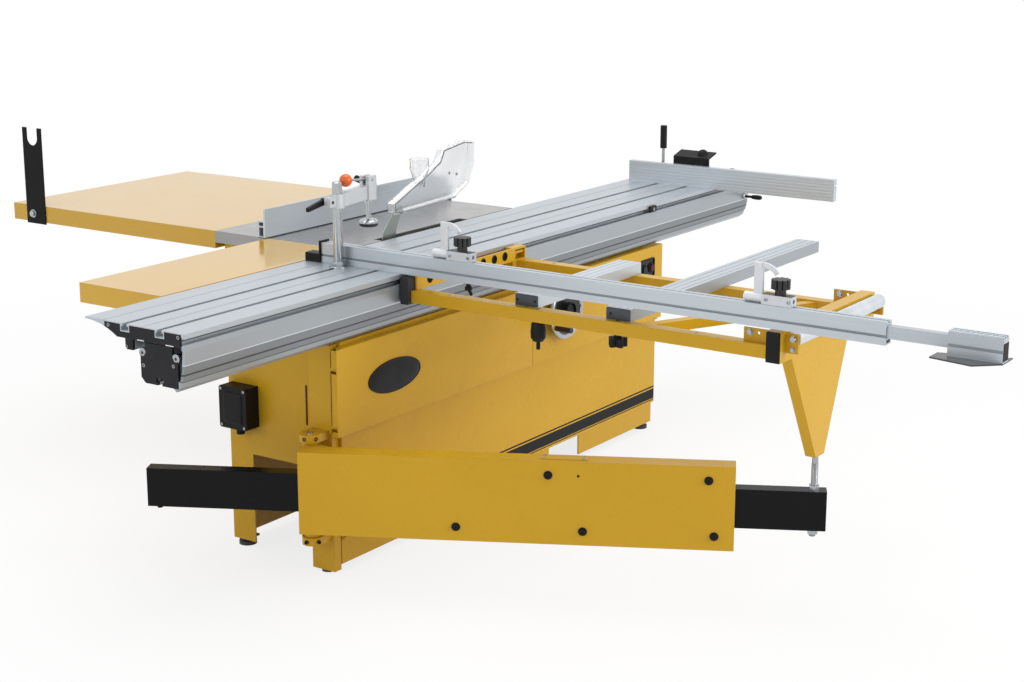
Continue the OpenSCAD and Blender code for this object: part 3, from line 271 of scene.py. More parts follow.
def machined(name, base, layers=(), rough=(0.14, 0.28)):
    """Bright steel with fine machining marks and a few dull patches."""
    n = Nodes(name)
    soft = n.soft_edges(0.6)
    marks = n.noise(1.0, 2.0, 0.5, n.scaled((180.0, 180.0, 1400.0)))
    tone = n.mix(n.span(n.noise(14.0, 5.0), 0.35, 0.75), base, shaded(base, 0.82))
    n.set(IOR=1.5)
    n.bump(marks, 0.08, 0.0003, soft)
    return n.finish(tone, n.span(n.noise(40.0, 4.0), 0.3, 0.7, *rough), 1.0, layers)


def ground_iron(name, base):
    """Cast table ground flat: cross-grain grinding lines and mottled oil tone."""
    n = Nodes(name)
    soft = n.soft_edges(1.2)
    lines = n.noise(1.0, 3.0, 0.6, n.scaled((6.0, 1100.0, 300.0)))
    mottle = n.noise(9.0, 6.0, 0.6)
    tone = n.mix(n.span(lines, 0.3, 0.7), shaded(base, 0.88), base)
    tone = n.mix(n.span(mottle, 0.5, 0.8, 0.0, 0.3), tone, shaded(base, 0.7))
    n.set(IOR=1.5)
    n.bump(lines, 0.06, 0.0004, soft)
    return n.finish(tone, n.span(mottle, 0.3, 0.7, 0.18, 0.30), 0.75, ())


def moulded(name, base, layers=(), rough=(0.38, 0.54), grain=900.0):
    """Moulded plastic: fine spark-eroded grain, edges painted lighter as a highlight."""
    n = Nodes(name)
    soft = n.soft_edges(1.0)
    cloud = n.noise(18.0, 4.0)
    tone = n.mix(n.span(cloud, 0.3, 0.7), base, shaded(base, 1.25, 0.004))
    # Edges painted lighter as a highlight
    tone = n.mix(n.math("MULTIPLY", n.edge_mask(soft), 0.35), tone, shaded(base, 1.6, 0.03))
    n.set(IOR=1.24)
    n.bump(n.noise(grain, 2.0), 0.08, 0.0003, soft)
    return n.finish(tone, n.span(cloud, 0.3, 0.7, *rough), 0.0, layers)


def clear_plastic(name):
    """Clear moulded plastic: slightly smoky, edges painted bright as a highlight, faint scuffs in its
    gloss.
    """
    n = Nodes(name)
    soft = n.soft_edges(1.5)
    scuff = n.noise(70.0, 5.0, 0.7)
    tone = n.mix(n.span(n.noise(8.0, 3.0), 0.3, 0.7), (0.93, 0.935, 0.945), (0.96, 0.965, 0.97))
    # Edges painted near white as a highlight
    tone = n.mix(n.edge_mask(soft), tone, (0.99, 0.99, 0.99))
    n.set(IOR=1.35, Transmission_Weight=0.93)
    n.bump(scuff, 0.03, 0.0004, soft)
    return n.finish(tone, n.span(scuff, 0.35, 0.75, 0.05, 0.20), 0.0, ())


# Finishes; colours are linear

YELLOW = (0.60, 0.345, 0.016)
BLACK = (0.007, 0.007, 0.008)
ALU = (0.51, 0.555, 0.595)
STEEL = (0.42, 0.44, 0.46)
CHROME = (0.46, 0.49, 0.51)
DARK = (0.035, 0.036, 0.040)
BRASS = (0.52, 0.33, 0.10)
ORANGE = (0.72, 0.12, 0.010)
STRIPE_BLACK = (0.004, 0.004, 0.004)
CAP_GREY = (0.014, 0.014, 0.016)
PAD_WHITE = (0.72, 0.72, 0.70)
SCREW_RIM = (0.34, 0.35, 0.36)

# Yellow frame: black stripes along its skirt and a dark control window
STRIPES = ((111, 115), (118, 156), (161, 167))
STRIPE_DEPTH = 1.5
WINDOW_MARGIN = (21.0, 34.0)
WINDOW_DEPTH = 1.0
panel_x = edge("base_frame", "x", 0)
skirt_x = edge("side_door", "x", 1)
button_y = (mid("stop_button", "y"), mid("start_button", "y"))
button_z = mid("start_button", "z")
window_y = (button_y[0] - WINDOW_MARGIN[0], button_y[1] + WINDOW_MARGIN[0])
window_z = (button_z - WINDOW_MARGIN[1], button_z + WINDOW_MARGIN[1])
window = zone(x=(None, panel_x + WINDOW_DEPTH), y=window_y, z=window_z)
frame_layers = [(zone(x=(None, skirt_x + STRIPE_DEPTH), z=band), STRIPE_BLACK, 0.55, 0.0)
                for band in STRIPES]
frame_layers.append((window, BLACK, 0.16, 0.0))

# Side rail: the clamp shoe behind its near end is dark
RAIL_WALL = 5.0
SHOE_START = 605.0
rail_face = edge("side_rail", "x", 0)
near_shoe = zone(x=(rail_face + RAIL_WALL, None), y=(SHOE_START, None))

paint = enamel("yellow_enamel", YELLOW)
frame_paint = enamel("yellow_enamel_striped", YELLOW, frame_layers)
rail_paint = enamel("yellow_enamel_rail", YELLOW, [(near_shoe, DARK, 0.45, 0.0)])
table_paint = enamel("yellow_table_enamel", YELLOW, rough=(0.12, 0.20), ior=1.45, coat=0.35)
beam_paint = enamel("black_enamel", BLACK, rough=(0.22, 0.32), ior=1.2)
grey_paint = enamel("grey_enamel", (0.05, 0.052, 0.056), rough=(0.4, 0.55))

# Copies of one aluminium drawn lighter or darker by part, as painted light and shade: the short bar
# and end fence lighter where they are lit, the base beam darker as painted shade and reflection under
# the table
short_bar_alu_lit = brushed("short_bar_alu_lit", shaded(ALU, 1.1), "y")
alu_x_lit = brushed("anodised_crosswise", shaded(ALU, 1.1), "x")
beam_alu_shaded = brushed("base_beam_alu", shaded(ALU, 0.66), "y")
# Long bar: its side face painted darker as shade
bar_side_shade = zone(x=(None, edge("long_bar", "x", 0) + 1))
long_bar_alu_shaded_side = brushed("long_bar_alu_shaded_side", ALU, "y", [(bar_side_shade, shaded(ALU, 0.68), 0.4, 0.55)])
alu_cast = brushed("cast_aluminium", (0.56, 0.585, 0.61), "z", rough=(0.38, 0.52))

# Crosscut fence with its groove along the front painted dark as shade, stops with dark knobs above the
# casting
FENCE_HEIGHT = 62.0
FENCE_GROOVE = (19.0, 28.0)
STOP_RISE = 28.0
fence_back, fence_front = ends("crosscut_fence", "y")
fence_top = edge("crosscut_fence", "z", 1)
fence_foot = fence_top - FENCE_HEIGHT
fence_groove_shade = zone(y=(fence_front - 4, fence_front - 1.5),
                    z=tuple(fence_foot + height for height in FENCE_GROOVE))
fence_alu = brushed("crosscut_fence_alu", ALU, "x", [(fence_groove_shade, shaded(ALU, 0.5), 0.5, 0.55)])
stop_top = fence_top + STOP_RISE
stop_alu = brushed("stop_casting", (0.58, 0.60, 0.63), "x",
                   [(zone(z=(stop_top, None)), BLACK, 0.42, 0.0)], (0.32, 0.46))
flag_alu = brushed("stop_flag", (0.68, 0.70, 0.73), "z", (), (0.4, 0.55), 0.3)

# Fence extension: a dark plate under it, a dark end face, a groove along its front painted dark as
# shade, and its aluminium drawn a little darker as painted shade
FOOT_PLATE = 4.1
END_FACE_MARGIN = (3.0, 12.0)
END_GROOVE = (24.0, 32.0)
block_x = edge("fence_extension", "x", 0)
block_foot, block_top = ends("fence_extension", "z")
foot_top = block_foot + FOOT_PLATE
end_face = zone(x=(None, block_x + 1),
                z=(foot_top + END_FACE_MARGIN[0], block_top - END_FACE_MARGIN[1]))
end_groove_shade = zone(y=(fence_front - 4, fence_front - 2),
                  z=tuple(foot_top + height for height in END_GROOVE))
extension_alu_painted_shade = brushed("fence_extension", shaded(ALU, 0.92), "x",
                        [(end_groove_shade, shaded(ALU, 0.55), 0.5, 0.55),
                         (zone(z=(None, foot_top)), (0.05, 0.05, 0.052), 0.2, 0.0),
                         (end_face, shaded(BLACK, 0.4), 0.8, 0.0)])

# Sliding table's apron: bands of painted light and shade by height, with tone and roughness, each laid
# over the ones before: the side darker, dark lines as shade in the slot and the groove, the part below
# the light line darker as a painted reflection of the dark underside, and that line a painted
# highlight; the table's aluminium is drawn a little darker too, as painted shade
APRON_DEPTH = 20.0
APRON_SHADE_BANDS = (
    ((0, 856), 0.72, 0.36),
    ((861, 866), 0.22, 0.4),
    ((0, 797), 0.44, 0.4),
    ((769, 774), 0.12, 0.45),
    ((797, 800), 1.2, 0.35),
)
table_side = edge("sliding_table", "x", 0)
apron_x = (None, table_side + APRON_DEPTH)
table_alu_painted_shade = brushed("sliding_table_alu", shaded(ALU, 0.92), "y",
                    [(zone(x=apron_x, z=band), shaded(ALU, tone), rough, 0.55)
                     for band, tone, rough in APRON_SHADE_BANDS])

# Rip fence: its carriage, below the bright profile, is black
RIP_PROFILE = 95.0
rip_foot = zone(z=(None, edge("rip_fence", "z", 1) - RIP_PROFILE))
rip_alu = brushed("rip_fence_alu", shaded(ALU, 1.08), "y", [(rip_foot, BLACK, 0.4, 0.0)])

# Guide rods with a hole in each end painted black as its shade
GUIDE_RADIUS = 9.0
GUIDE_BORE = 4.5
guide_low, guide_high = ends("guide_rods", "x")
guide_x = (guide_low + GUIDE_RADIUS, guide_high - GUIDE_RADIUS)
guide_z = mid("guide_rods", "z")
rod_steel = machined("guide_rod_steel", STEEL,
                     [(round_zone(GUIDE_BORE, x=x, z=guide_z), BLACK, 0.5, 0.0) for x in guide_x])

steel = machined("turned_steel", STEEL)
chrome = machined("chrome", CHROME, rough=(0.06, 0.14))
roller_steel = machined("roller_steel", (0.72, 0.76, 0.80), rough=(0.28, 0.38))
knife_steel = machined("knife_steel", (0.36, 0.39, 0.36), rough=(0.3, 0.4))
brass = machined("brass", BRASS, rough=(0.2, 0.32))
iron = ground_iron("ground_iron", (0.345, 0.342, 0.335))

plastic = moulded("black_plastic", BLACK)
gloss_plastic = moulded("black_gloss_plastic", BLACK, rough=(0.12, 0.2))
end_plate = moulded("end_plate_plastic", (0.075, 0.084, 0.100), rough=(0.4, 0.55))
dark_screw = machined("blackened_screw", DARK, rough=(0.3, 0.45))
rubber = moulded("rubber", BLACK, rough=(0.6, 0.75), grain=500.0)
green = moulded("green_plastic", (0.005, 0.020, 0.009), rough=(0.2, 0.3))
red = moulded("red_plastic", (0.045, 0.006, 0.006), rough=(0.2, 0.3))
guard_look = clear_plastic("clear_guard_plastic")


def screw_spots(spots):
    """Flush screws in a cap: a bright rim round a socket painted black as its shade."""
    layers = []
    for x, z, radius in spots:
        layers.append((round_zone(radius, x=x, z=z), SCREW_RIM, 0.3, 0.9))
        # Socket painted black as the shade inside it
        layers.append((round_zone(radius * 0.5, x=x, z=z), BLACK, 0.5, 0.0))
    return layers


# End caps of table and base beam: screws, and two pale pads on the table's cap
CAP_SCREWS = ((-112, 873, 5), (-371, 873, 5), (-178, 822, 5))
CAP_PADS = ((-245, -220), (-354, -325))
PAD_Z = (842, 848)
BEAM_SCREWS = ((-240, 779, 5), (-350, 792, 5))
cap_layers = screw_spots(CAP_SCREWS)
cap_layers += [(zone(x=pad, z=PAD_Z), PAD_WHITE, 0.5, 0.0) for pad in CAP_PADS]
table_cap = moulded("table_cap_plastic", CAP_GREY, cap_layers, (0.42, 0.56))
base_cap = moulded("base_cap_plastic", CAP_GREY, screw_spots(BEAM_SCREWS), (0.42, 0.56))

# Levers and spindle of two materials: the lengths of their ends, and where the rip lever's shank stops
BALL_LENGTH = 40.0
FOOT_LENGTH = 9.2
GRIP_LENGTH = 88.0
STEM_FOOT = 10.0
RIP_SHANK_END = -123.0
ball_y = edge("hold_down_lever", "y", 1) - BALL_LENGTH
lever_look = machined("ball_and_lever", STEEL,
                      [(zone(y=(ball_y, None)), ORANGE, 0.12, 0.0)], (0.18, 0.3))
pad_z = edge("hold_down_spindle", "z", 0) + FOOT_LENGTH
spindle_look = machined("spindle", CHROME, [(zone(z=(None, pad_z)), BLACK, 0.6, 0.0)], (0.08, 0.18))
grip_z = edge("end_fence_lever", "z", 1) - GRIP_LENGTH
stem_z = edge("end_fence_lever", "z", 0) + STEM_FOOT
end_lever_look = moulded("end_lever", BLACK, [(zone(z=(stem_z, grip_z)), STEEL, 0.2, 1.0)])
rip_lever_look = moulded("rip_lever", BLACK, [(zone(y=(None, RIP_SHANK_END)), STEEL, 0.2, 1.0)])

# Handwheels
WHEEL_DISH = 82.0
HANDLE_REACH = 72.0
HANDLE_START = 12.0
LIFT_CENTRE = {"y": -220.0, "z": 605.0}
TILT_CENTRE = {"x": 330.0, "z": 600.0}


def wheel_layers(centre, handle):
    """Black dish inside the bright rim, and a black handle."""
    return [(round_zone(WHEEL_DISH, **centre), BLACK, 0.35, 0.0), (handle, BLACK, 0.4, 0.0)]


lift_plane = edge("lift_handwheel", "x", 0) + HANDLE_REACH
tilt_plane = edge("tilt_handwheel", "y", 0) + HANDLE_REACH
lift_handle = zone(x=(None, lift_plane - HANDLE_START))
tilt_handle = zone(y=(None, tilt_plane - HANDLE_START))
lift_look = machined("lift_wheel_metal", CHROME,
                     wheel_layers(LIFT_CENTRE, lift_handle), (0.08, 0.18))
tilt_look = machined("tilt_wheel_metal", CHROME,
                     wheel_layers(TILT_CENTRE, tilt_handle), (0.08, 0.18))

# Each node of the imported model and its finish
NODE_LOOKS = {
    "base_frame": frame_paint, "saw_cabinet": paint, "corner_post": paint, "hinge_pin": steel,
    "levelling_feet": grey_paint, "junction_box": plastic, "main_table": iron,
    "extension_table": table_paint, "table_supports": paint, "outfeed_table": table_paint,
    "hose_fork": beam_paint, "guide_rail": steel, "base_beam": beam_alu_shaded, "base_end_caps": base_cap,
    "guide_rods": rod_steel, "side_door": paint, "start_button": green, "stop_button": red,
    "lift_handwheel": lift_look, "tilt_handwheel": tilt_look, "roller_carriage": grey_paint,
    "sliding_table": table_alu_painted_shade, "table_end_caps": table_cap, "end_fence": alu_x_lit,
    "push_grip": plastic, "end_fence_lever": end_lever_look, "hold_down_post": chrome,
    "hold_down_arm": alu_cast, "hold_down_handle": plastic, "hold_down_lever": lever_look,
    "hold_down_spindle": spindle_look, "outrigger_frame": paint,
    "side_rail": rail_paint, "outer_tube": paint, "outrigger_leg": paint, "short_bar": short_bar_alu_lit,
    "long_bar": long_bar_alu_shaded_side, "bar_knob": plastic, "grip_nut": plastic, "loading_roller": roller_steel,
    "crosscut_fence": fence_alu, "fence_end_block": plastic, "fence_extension": extension_alu_painted_shade,
    "inner_stop": stop_alu, "outer_stop": stop_alu, "inner_stop_flag": flag_alu,
    "outer_stop_flag": flag_alu, "swing_arm": paint, "arm_rollers": plastic,
    "telescopic_beam": beam_paint, "support_rod": steel, "tilt_frame": grey_paint,
    "lift_block": grey_paint, "drive_motor": grey_paint, "drive_belt": rubber, "saw_blade": steel,
    "riving_knife": knife_steel, "blade_guard": guard_look, "rip_fence": rip_alu,
    "rip_fence_lever": rip_lever_look,
}
for name, look in NODE_LOOKS.items():
    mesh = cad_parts[name].data
    mesh.materials.clear()
    mesh.materials.append(look)


# Fittings

# Room that keeps the faces of two pieces from lying in one plane
CLEAR = 0.2
# Low and high end of a node along an axis, with the way out of the piece there
ENDS_OUT = ((0, -1), (1, 1))


def circle(radius, steps=32, flats=0):
    """Outline of a round, or of a polygon with that many flats drawn on the same steps."""
    points = []
    for i in range(steps):
        turn = 2 * math.pi * i / steps
        reach = radius
        if flats:
            share = 2 * math.pi / flats
            reach = radius * math.cos(share / 2) / math.cos(turn % share - share / 2)
        points.append((reach * math.cos(turn), reach * math.sin(turn)))
    return points


def oval(half_u, half_v, steps=64):
    """Outline of an oval."""
    turns = [2 * math.pi * i / steps for i in range(steps)]
    return [(half_u * math.cos(t), half_v * math.sin(t)) for t in turns]


def rounded(half_u, half_v, corner, steps=5):
    """Outline of a rectangle with rounded corners."""
    points = []
    for quarter, (su, sv) in enumerate(((1, 1), (-1, 1), (-1, -1), (1, -1))):
        for i in range(steps + 1):
            turn = math.pi / 2 * (quarter + i / steps)
            points.append((su * (half_u - corner) + corner * math.cos(turn),
                           sv * (half_v - corner) + corner * math.sin(turn)))
    return points


class Piece:
    """One mesh piece gathered from lofted parts, all in the drawing's millimetres."""

    def __init__(self, name, body, slot, *looks):
        self.name = name
        self.body = body
        self.slot = slot
        self.looks = looks
        self.bm = bmesh.new()

    def loft(self, start, along, loops, look=0, side=None, closed=False, hollow=False):
        """Join (outline, height) loops stacked along an axis.

        Open ends get a flat face, and a hollow faces inwards.
        """
        axis = Vector(along).normalized()
        u = Vector(side).normalized() if side else axis.orthogonal().normalized()
        v = axis.cross(u)
        base = at(*start)
        part = bmesh.new()
        rings = []
        for outline, height in loops:
            centre = base + axis * (height * MM)
            rings.append([part.verts.new(centre + (u * p + v * q) * MM) for p, q in outline])
        pairs = list(zip(rings, rings[1:]))
        if closed:
            pairs.append((rings[-1], rings[0]))
        else:
            part.faces.new(rings[0])
            part.faces.new(rings[-1])
        for a, b in pairs:
            count = len(a)
            for i in range(count):
                j = (i + 1) % count
                part.faces.new((a[i], a[j], b[j], b[i]))
        bmesh.ops.recalc_face_normals(part, faces=part.faces)
        if hollow:
            bmesh.ops.reverse_faces(part, faces=part.faces)
        for face in part.faces:
            face.material_index = look
        held = bpy.data.meshes.new(self.name)
        part.to_mesh(held)
        part.free()
        self.bm.from_mesh(held)
        bpy.data.meshes.remove(held)

    def turned(self, start, along, profile, look=0, steps=32, closed=False):
        """Lathe work: (radius, height) or (radius, height, flats) entries."""
        loops = [(circle(entry[0], steps, *entry[2:]), entry[1]) for entry in profile]
        self.loft(start, along, loops, look, closed=closed)

    def slab(self, low, high, radius, look=0):
        """Block with rounded edges between two corners."""
        half = [(b - a) / 2 for a, b in zip(low, high)]
        foot = ((low[0] + high[0]) / 2, (low[1] + high[1]) / 2, low[2])
        full = rounded(half[0], half[1], radius)
        small = rounded(half[0] - radius * 0.6, half[1] - radius * 0.6, radius * 0.7)
        top = half[2] * 2
        loops = [(small, 0), (full, radius * 0.6), (full, top - radius * 0.6), (small, top)]
        self.loft(foot, (0, 0, 1), loops, look, side=(1, 0, 0))

    def plate(self, spot, along, half, corner, steps, side):
        """Plate with rounded corners, whose rim follows (back, height) steps."""
        loops = [(rounded(half[0] - back, half[1] - back, corner), height)
                 for back, height in steps]
        self.loft(spot, along, loops, side=side)

    def tube(self, points, radius, look=0, steps=16):
        """Round bar along a line of points, with eased ends."""
        path = [Vector(p) for p in points]
        for a, b in zip(path, path[1:]):
            run = (b - a).length
            self.turned(a, b - a, [(radius * 0.7, -radius * 0.3), (radius, 0), (radius, run),
                                   (radius * 0.7, run + radius * 0.3)], look, steps)

    def done(self, *stands_for):
        """Make the object, ride it on its body and hide the nodes it stands for."""
        mesh = bpy.data.meshes.new(self.name)
        self.bm.to_mesh(mesh)
        self.bm.free()
        for look in self.looks:
            mesh.materials.append(look)
        mesh.shade_smooth()
        mesh.set_sharp_from_angle(angle=math.radians(35))
        piece = bpy.data.objects.new(self.name, mesh)
        bpy.context.collection.objects.link(piece)
        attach(piece, self.body)
        if stands_for:
            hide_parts(*stands_for)


def socket_screw(piece, spot, along, radius, height, look=0):
    """Cap screw with a hexagon socket."""
    piece.turned(spot, along, [(radius, 0), (radius, height * 0.8), (radius * 0.88, height),
                               (radius * 0.6, height), (radius * 0.55, height, 6),
                               (radius * 0.55, height * 0.35, 6)], look, 24)


def hex_bolt(piece, spot, along, radius, height, washer=0.0, look=0, washer_look=0):
    """Hexagon head with a chamfered top, on a washer where one is given."""
    lift = 1.6 if washer else 0.0
    if washer:
        rim = [(washer, 0), (washer, lift * 0.8), (washer * 0.97, lift)]
        piece.turned(spot, along, rim, washer_look)
    piece.turned(spot, along, [(radius, lift, 6), (radius, lift + height * 0.82, 6),
                               (radius * 0.86, lift + height)], look, 24)


# Door skin, reaching past the hinge to the corner post, its return cut away at the hinge lugs
SKIN = 3.0
SKIN_REACH = 48.0
SKIN_RETURN = 22.0
SKIN_CORNER = 4.0
SKIN_RIM = ((0, 0), (0, 0.4), (0.5, 1.6), (1.5, 2.5), (3.0, SKIN - CLEAR))
RETURN_SPANS = ((2, 17), (33, 195), (211, 266))
door_face = edge("side_door", "x", 0) - SKIN
skin_y = (edge("side_door", "y", 0), edge("base_frame", "y", 1) + SKIN_REACH)
skin_z = ends("side_door", "z")
skin_half = ((skin_y[1] - skin_y[0]) / 2, (skin_z[1] - skin_z[0]) / 2)
skin_spot = (door_face + SKIN - CLEAR, sum(skin_y) / 2, sum(skin_z) / 2)
skin = Piece("door_skin", "door", "yellow_paint", paint)
skin.plate(skin_spot, (-1, 0, 0), skin_half, SKIN_CORNER, SKIN_RIM, (0, 1, 0))
for low, high in RETURN_SPANS:
    skin.slab((door_face + 1, skin_y[1] - SKIN, skin_z[0] + low),
              (door_face + SKIN_RETURN, skin_y[1] - CLEAR, skin_z[0] + high), 1.0)
skin.done()

# Door badge, left bare
BADGE_HALF = (128.5, 51.5)
BADGE_AT = (701.0, 576.0)
BADGE_RIM = ((0, 0), (0, 3), (1.2, 4.2), (4.5, 4.2), (5.5, 3.2))
BADGE_DOME = ((9, 3.8), (20, 5.0), (34, 5.8), (46, 6.0))
badge = Piece("door_badge", "door", "black_plastic", gloss_plastic)
badge.loft((door_face, *BADGE_AT), (-1, 0, 0),
           [(oval(BADGE_HALF[0] - back, BADGE_HALF[1] - back), height)
            for back, height in BADGE_RIM + BADGE_DOME], side=(0, 1, 0))
badge.done()

# Bezel of the control window and a collar round each button
BEZEL_BAND = 3.0
BEZEL_CORNER = 9.0
BEZEL_RIM = ((0, 0), (0, 3), (1.2, 4.2), (4, 4.2), (5, 3), (5, 0))
COLLAR = ((14.8, 0), (20, 0), (20, 2.4), (18.6, 3.8), (14.8, 3.8))
bezel = Piece("control_bezel", "cabinet", "black_plastic", plastic)
bezel_half = [(side[1] - side[0]) / 2 + BEZEL_BAND for side in (window_y, window_z)]
bezel.loft((panel_x, sum(window_y) / 2, button_z), (-1, 0, 0),
           [(rounded(bezel_half[0] - back, bezel_half[1] - back, BEZEL_CORNER - back), height)
            for back, height in BEZEL_RIM], side=(0, 1, 0), closed=True)
for y in button_y:
    bezel.turned((panel_x, y, button_z), (-1, 0, 0), COLLAR, closed=True)
bezel.done()

# Lid panel and corner screws of the electrical box
LID_HEIGHT = 133.0
LID_CORNER = 10.0
LID_RIM = ((17, -0.5), (17, 1.2), (18, 2.0), (24, 2.2))
LID_SCREW = 9.0
box_x = ends("junction_box", "x")
lid_y = edge("junction_box", "y", 1)
lid_half = ((box_x[1] - box_x[0]) / 2, LID_HEIGHT / 2)
lid_spot = (sum(box_x) / 2, lid_y, edge("junction_box", "z", 1) - LID_HEIGHT / 2)
lid = Piece("box_lid_panel", "cabinet", "black_plastic", plastic, steel)
lid.plate(lid_spot, (0, 1, 0), lid_half, LID_CORNER, LID_RIM, (1, 0, 0))
for way_x in (-1, 1):
    for way_z in (-1, 1):
        screw_x = lid_spot[0] + way_x * (lid_half[0] - LID_SCREW)
        screw_z = lid_spot[2] + way_z * (lid_half[1] - LID_SCREW)
        socket_screw(lid, (screw_x, lid_y, screw_z), (0, 1, 0), 4.5, 2.2, 1)
lid.done()

# Set screws round the hinge ears, given by height and reach
EAR_RADIUS = 32.0
EAR_TURNS = (97, 162)
EAR_SCREWS = ((440.0, 2.5), (120.0, 8.0))
pivot = (mid("hinge_pin", "x"), mid("hinge_pin", "y"))
post_screws = Piece("hinge_set_screws", "cabinet", "dark_steel", dark_screw)
for degrees in EAR_TURNS:
    turn = math.radians(degrees)
    out = Vector((math.cos(turn), math.sin(turn), 0.0))
    for z, reach in EAR_SCREWS:
        spot = Vector((*pivot, z)) + out * (EAR_RADIUS - 1.0)
        socket_screw(post_screws, spot, out, 6.0, reach)
post_screws.done()

# Bolt that holds the hose fork to the extension table
FORK_BOLT_IN = 108.0
FORK_BOLT_DROP = 30.0
FORK_LIP = 9.0
fork_spot = (edge("extension_table", "x", 1) - FORK_BOLT_IN, edge("hose_fork", "y", 1) - FORK_LIP,
             TABLE_Z - FORK_BOLT_DROP)
fork_bolt = Piece("fork_bolt", "cabinet", "steel", chrome)
hex_bolt(fork_bolt, fork_spot, (0, 1, 0), 12.0, 8.0, 15.0)
fork_bolt.done()

# Cross bars of the outrigger
BAR_RIM = ((0, 0), (0, 1.8), (0.9, 2.6))
PLATE_CORNER = 4.0


def bar_plates(name, node, body, screws):
    """Plastic plates on the ends of a cross bar, with screws at these shifts from its middle."""
    plates = Piece(name, body, "black_plastic", end_plate, dark_screw)
    half = [(high - low) / 2 - 1 for low, high in (ends(node, "x"), ends(node, "z"))]
    for end, out in ENDS_OUT:
        spot = (mid(node, "x"), edge(node, "y", end), mid(node, "z"))
        plates.plate(spot, (0, out, 0), half, PLATE_CORNER, BAR_RIM, (1, 0, 0))
        for shift in screws:
            screw_spot = (spot[0] + shift, spot[1] + out * 2.5, spot[2])
            socket_screw(plates, screw_spot, (0, out, 0), 4.0, 1.8, 1)
    plates.done()


bar_plates("short_bar_plates", "short_bar", "carriage_table", (-31, 31))
bar_plates("long_bar_plates", "long_bar", "sliding_bar", (24,))

# Plugs in the ends of the outrigger's outer tube
TUBE_X = (-1659.0, -1617.0)
TUBE_Z = (791.0, 877.0)
PLUG_RIM = ((0, 0), (0, 2.2), (1.5, 3.4), (5, 3.8))
plug_half = [(high - low - 1) / 2 for low, high in (TUBE_X, TUBE_Z)]
plugs = Piece("tube_plugs", "carriage_table", "black_plastic", plastic)
for end, out in ENDS_OUT:
    spot = (sum(TUBE_X) / 2, edge("outer_tube", "y", end), sum(TUBE_Z) / 2)
    plugs.plate(spot, (0, out, 0), plug_half, PLATE_CORNER, PLUG_RIM, (1, 0, 0))
plugs.done()

# Outrigger: bolts in its corner plates and roller brackets, flush screws in its rails
CORNER_BOLT = (57.0, 26.0)
CORNER_PLATES = (18.0, 22.0)
BRACKETS = (30.0, 24.0)
RAIL_SCREWS = ((-1221, 570), (-1394, 650), (-560, 650), (-560, 80))
rail_top = edge("outrigger_frame", "z", 1)
far_y, near_y = ends("outer_tube", "y")
plate_y = (near_y - CORNER_PLATES[0], far_y + CORNER_PLATES[1])
bracket_y = (near_y - BRACKETS[0], far_y + BRACKETS[1])
roller_x = mid("loading_roller", "x")
roller_z = mid("loading_roller", "z")
bolts = Piece("outrigger_bolts", "carriage_table", "steel", steel, brass)
for y in plate_y:
    corner = (TUBE_X[1] + CORNER_BOLT[0], y, rail_top + CORNER_BOLT[1])
    hex_bolt(bolts, corner, (0, 1, 0), 8.0, 5.0, 10.0)
hex_bolt(bolts, (roller_x, bracket_y[0], roller_z), (0, 1, 0), 9.0, 7.0, 12.0, 0, 1)
hex_bolt(bolts, (roller_x + 2, bracket_y[0], roller_z - 30), (0, 1, 0), 6.5, 4.0, 8.0)
hex_bolt(bolts, (roller_x, bracket_y[1] - 6, roller_z), (0, -1, 0), 9.0, 7.0, 12.0, 0, 1)
for x in (roller_x + 2, roller_x + 18):
    hex_bolt(bolts, (x, bracket_y[1], roller_z - 31), (0, 1, 0), 6.5, 4.0, 0.0, 1)
for spot in RAIL_SCREWS:
    socket_screw(bolts, (*spot, rail_top), (0, 0, 1), 5.0, 1.5)
bolts.done()

# Lever under the crosscut fence that clamps it to the table
CLAMP_X = -632.0
CLAMP_STEM = ((7, 0), (7, 12), (11, 13), (11, 22), (9, 24))
fence_mid = mid("crosscut_fence", "y")
clamp = Piece("fence_clamp_lever", "fence", "black_plastic", plastic)
clamp.turned((CLAMP_X, fence_mid, fence_foot), (0, 0, -1), CLAMP_STEM)
clamp.tube([(CLAMP_X, fence_mid, fence_foot - 18),
            (CLAMP_X - 16, fence_mid + 8, fence_foot - 34)], 5)
clamp.done()

# Clamping screws in the flip stops
STOP_SCREWS = (8.0, 74.0)
for name, node, body in (("inner_stop_screw", "inner_stop", "stop_near"),
                         ("outer_stop_screw", "outer_stop", "stop_far")):
    screw = Piece(name, body, "dark_steel", steel)
    for shift in STOP_SCREWS:
        spot = (edge(node, "x", 0) + shift, fence_front - 2, stop_top - 14)
        socket_screw(screw, spot, (0, 1, 0), 5.0, 3.0)
    screw.done()

# Flags of the flip stops
FLAG_HALF = 4.0
FLAG_HUB = 56.7
FLAG_PIN = (5.0, 76.0)
FLAG_PLATE = (27.0, 55.0)
LUG_RADIUS = (43.0, 56.0)
LUG_TURN = (86.0, 145.0)
LUG_STEPS = 14


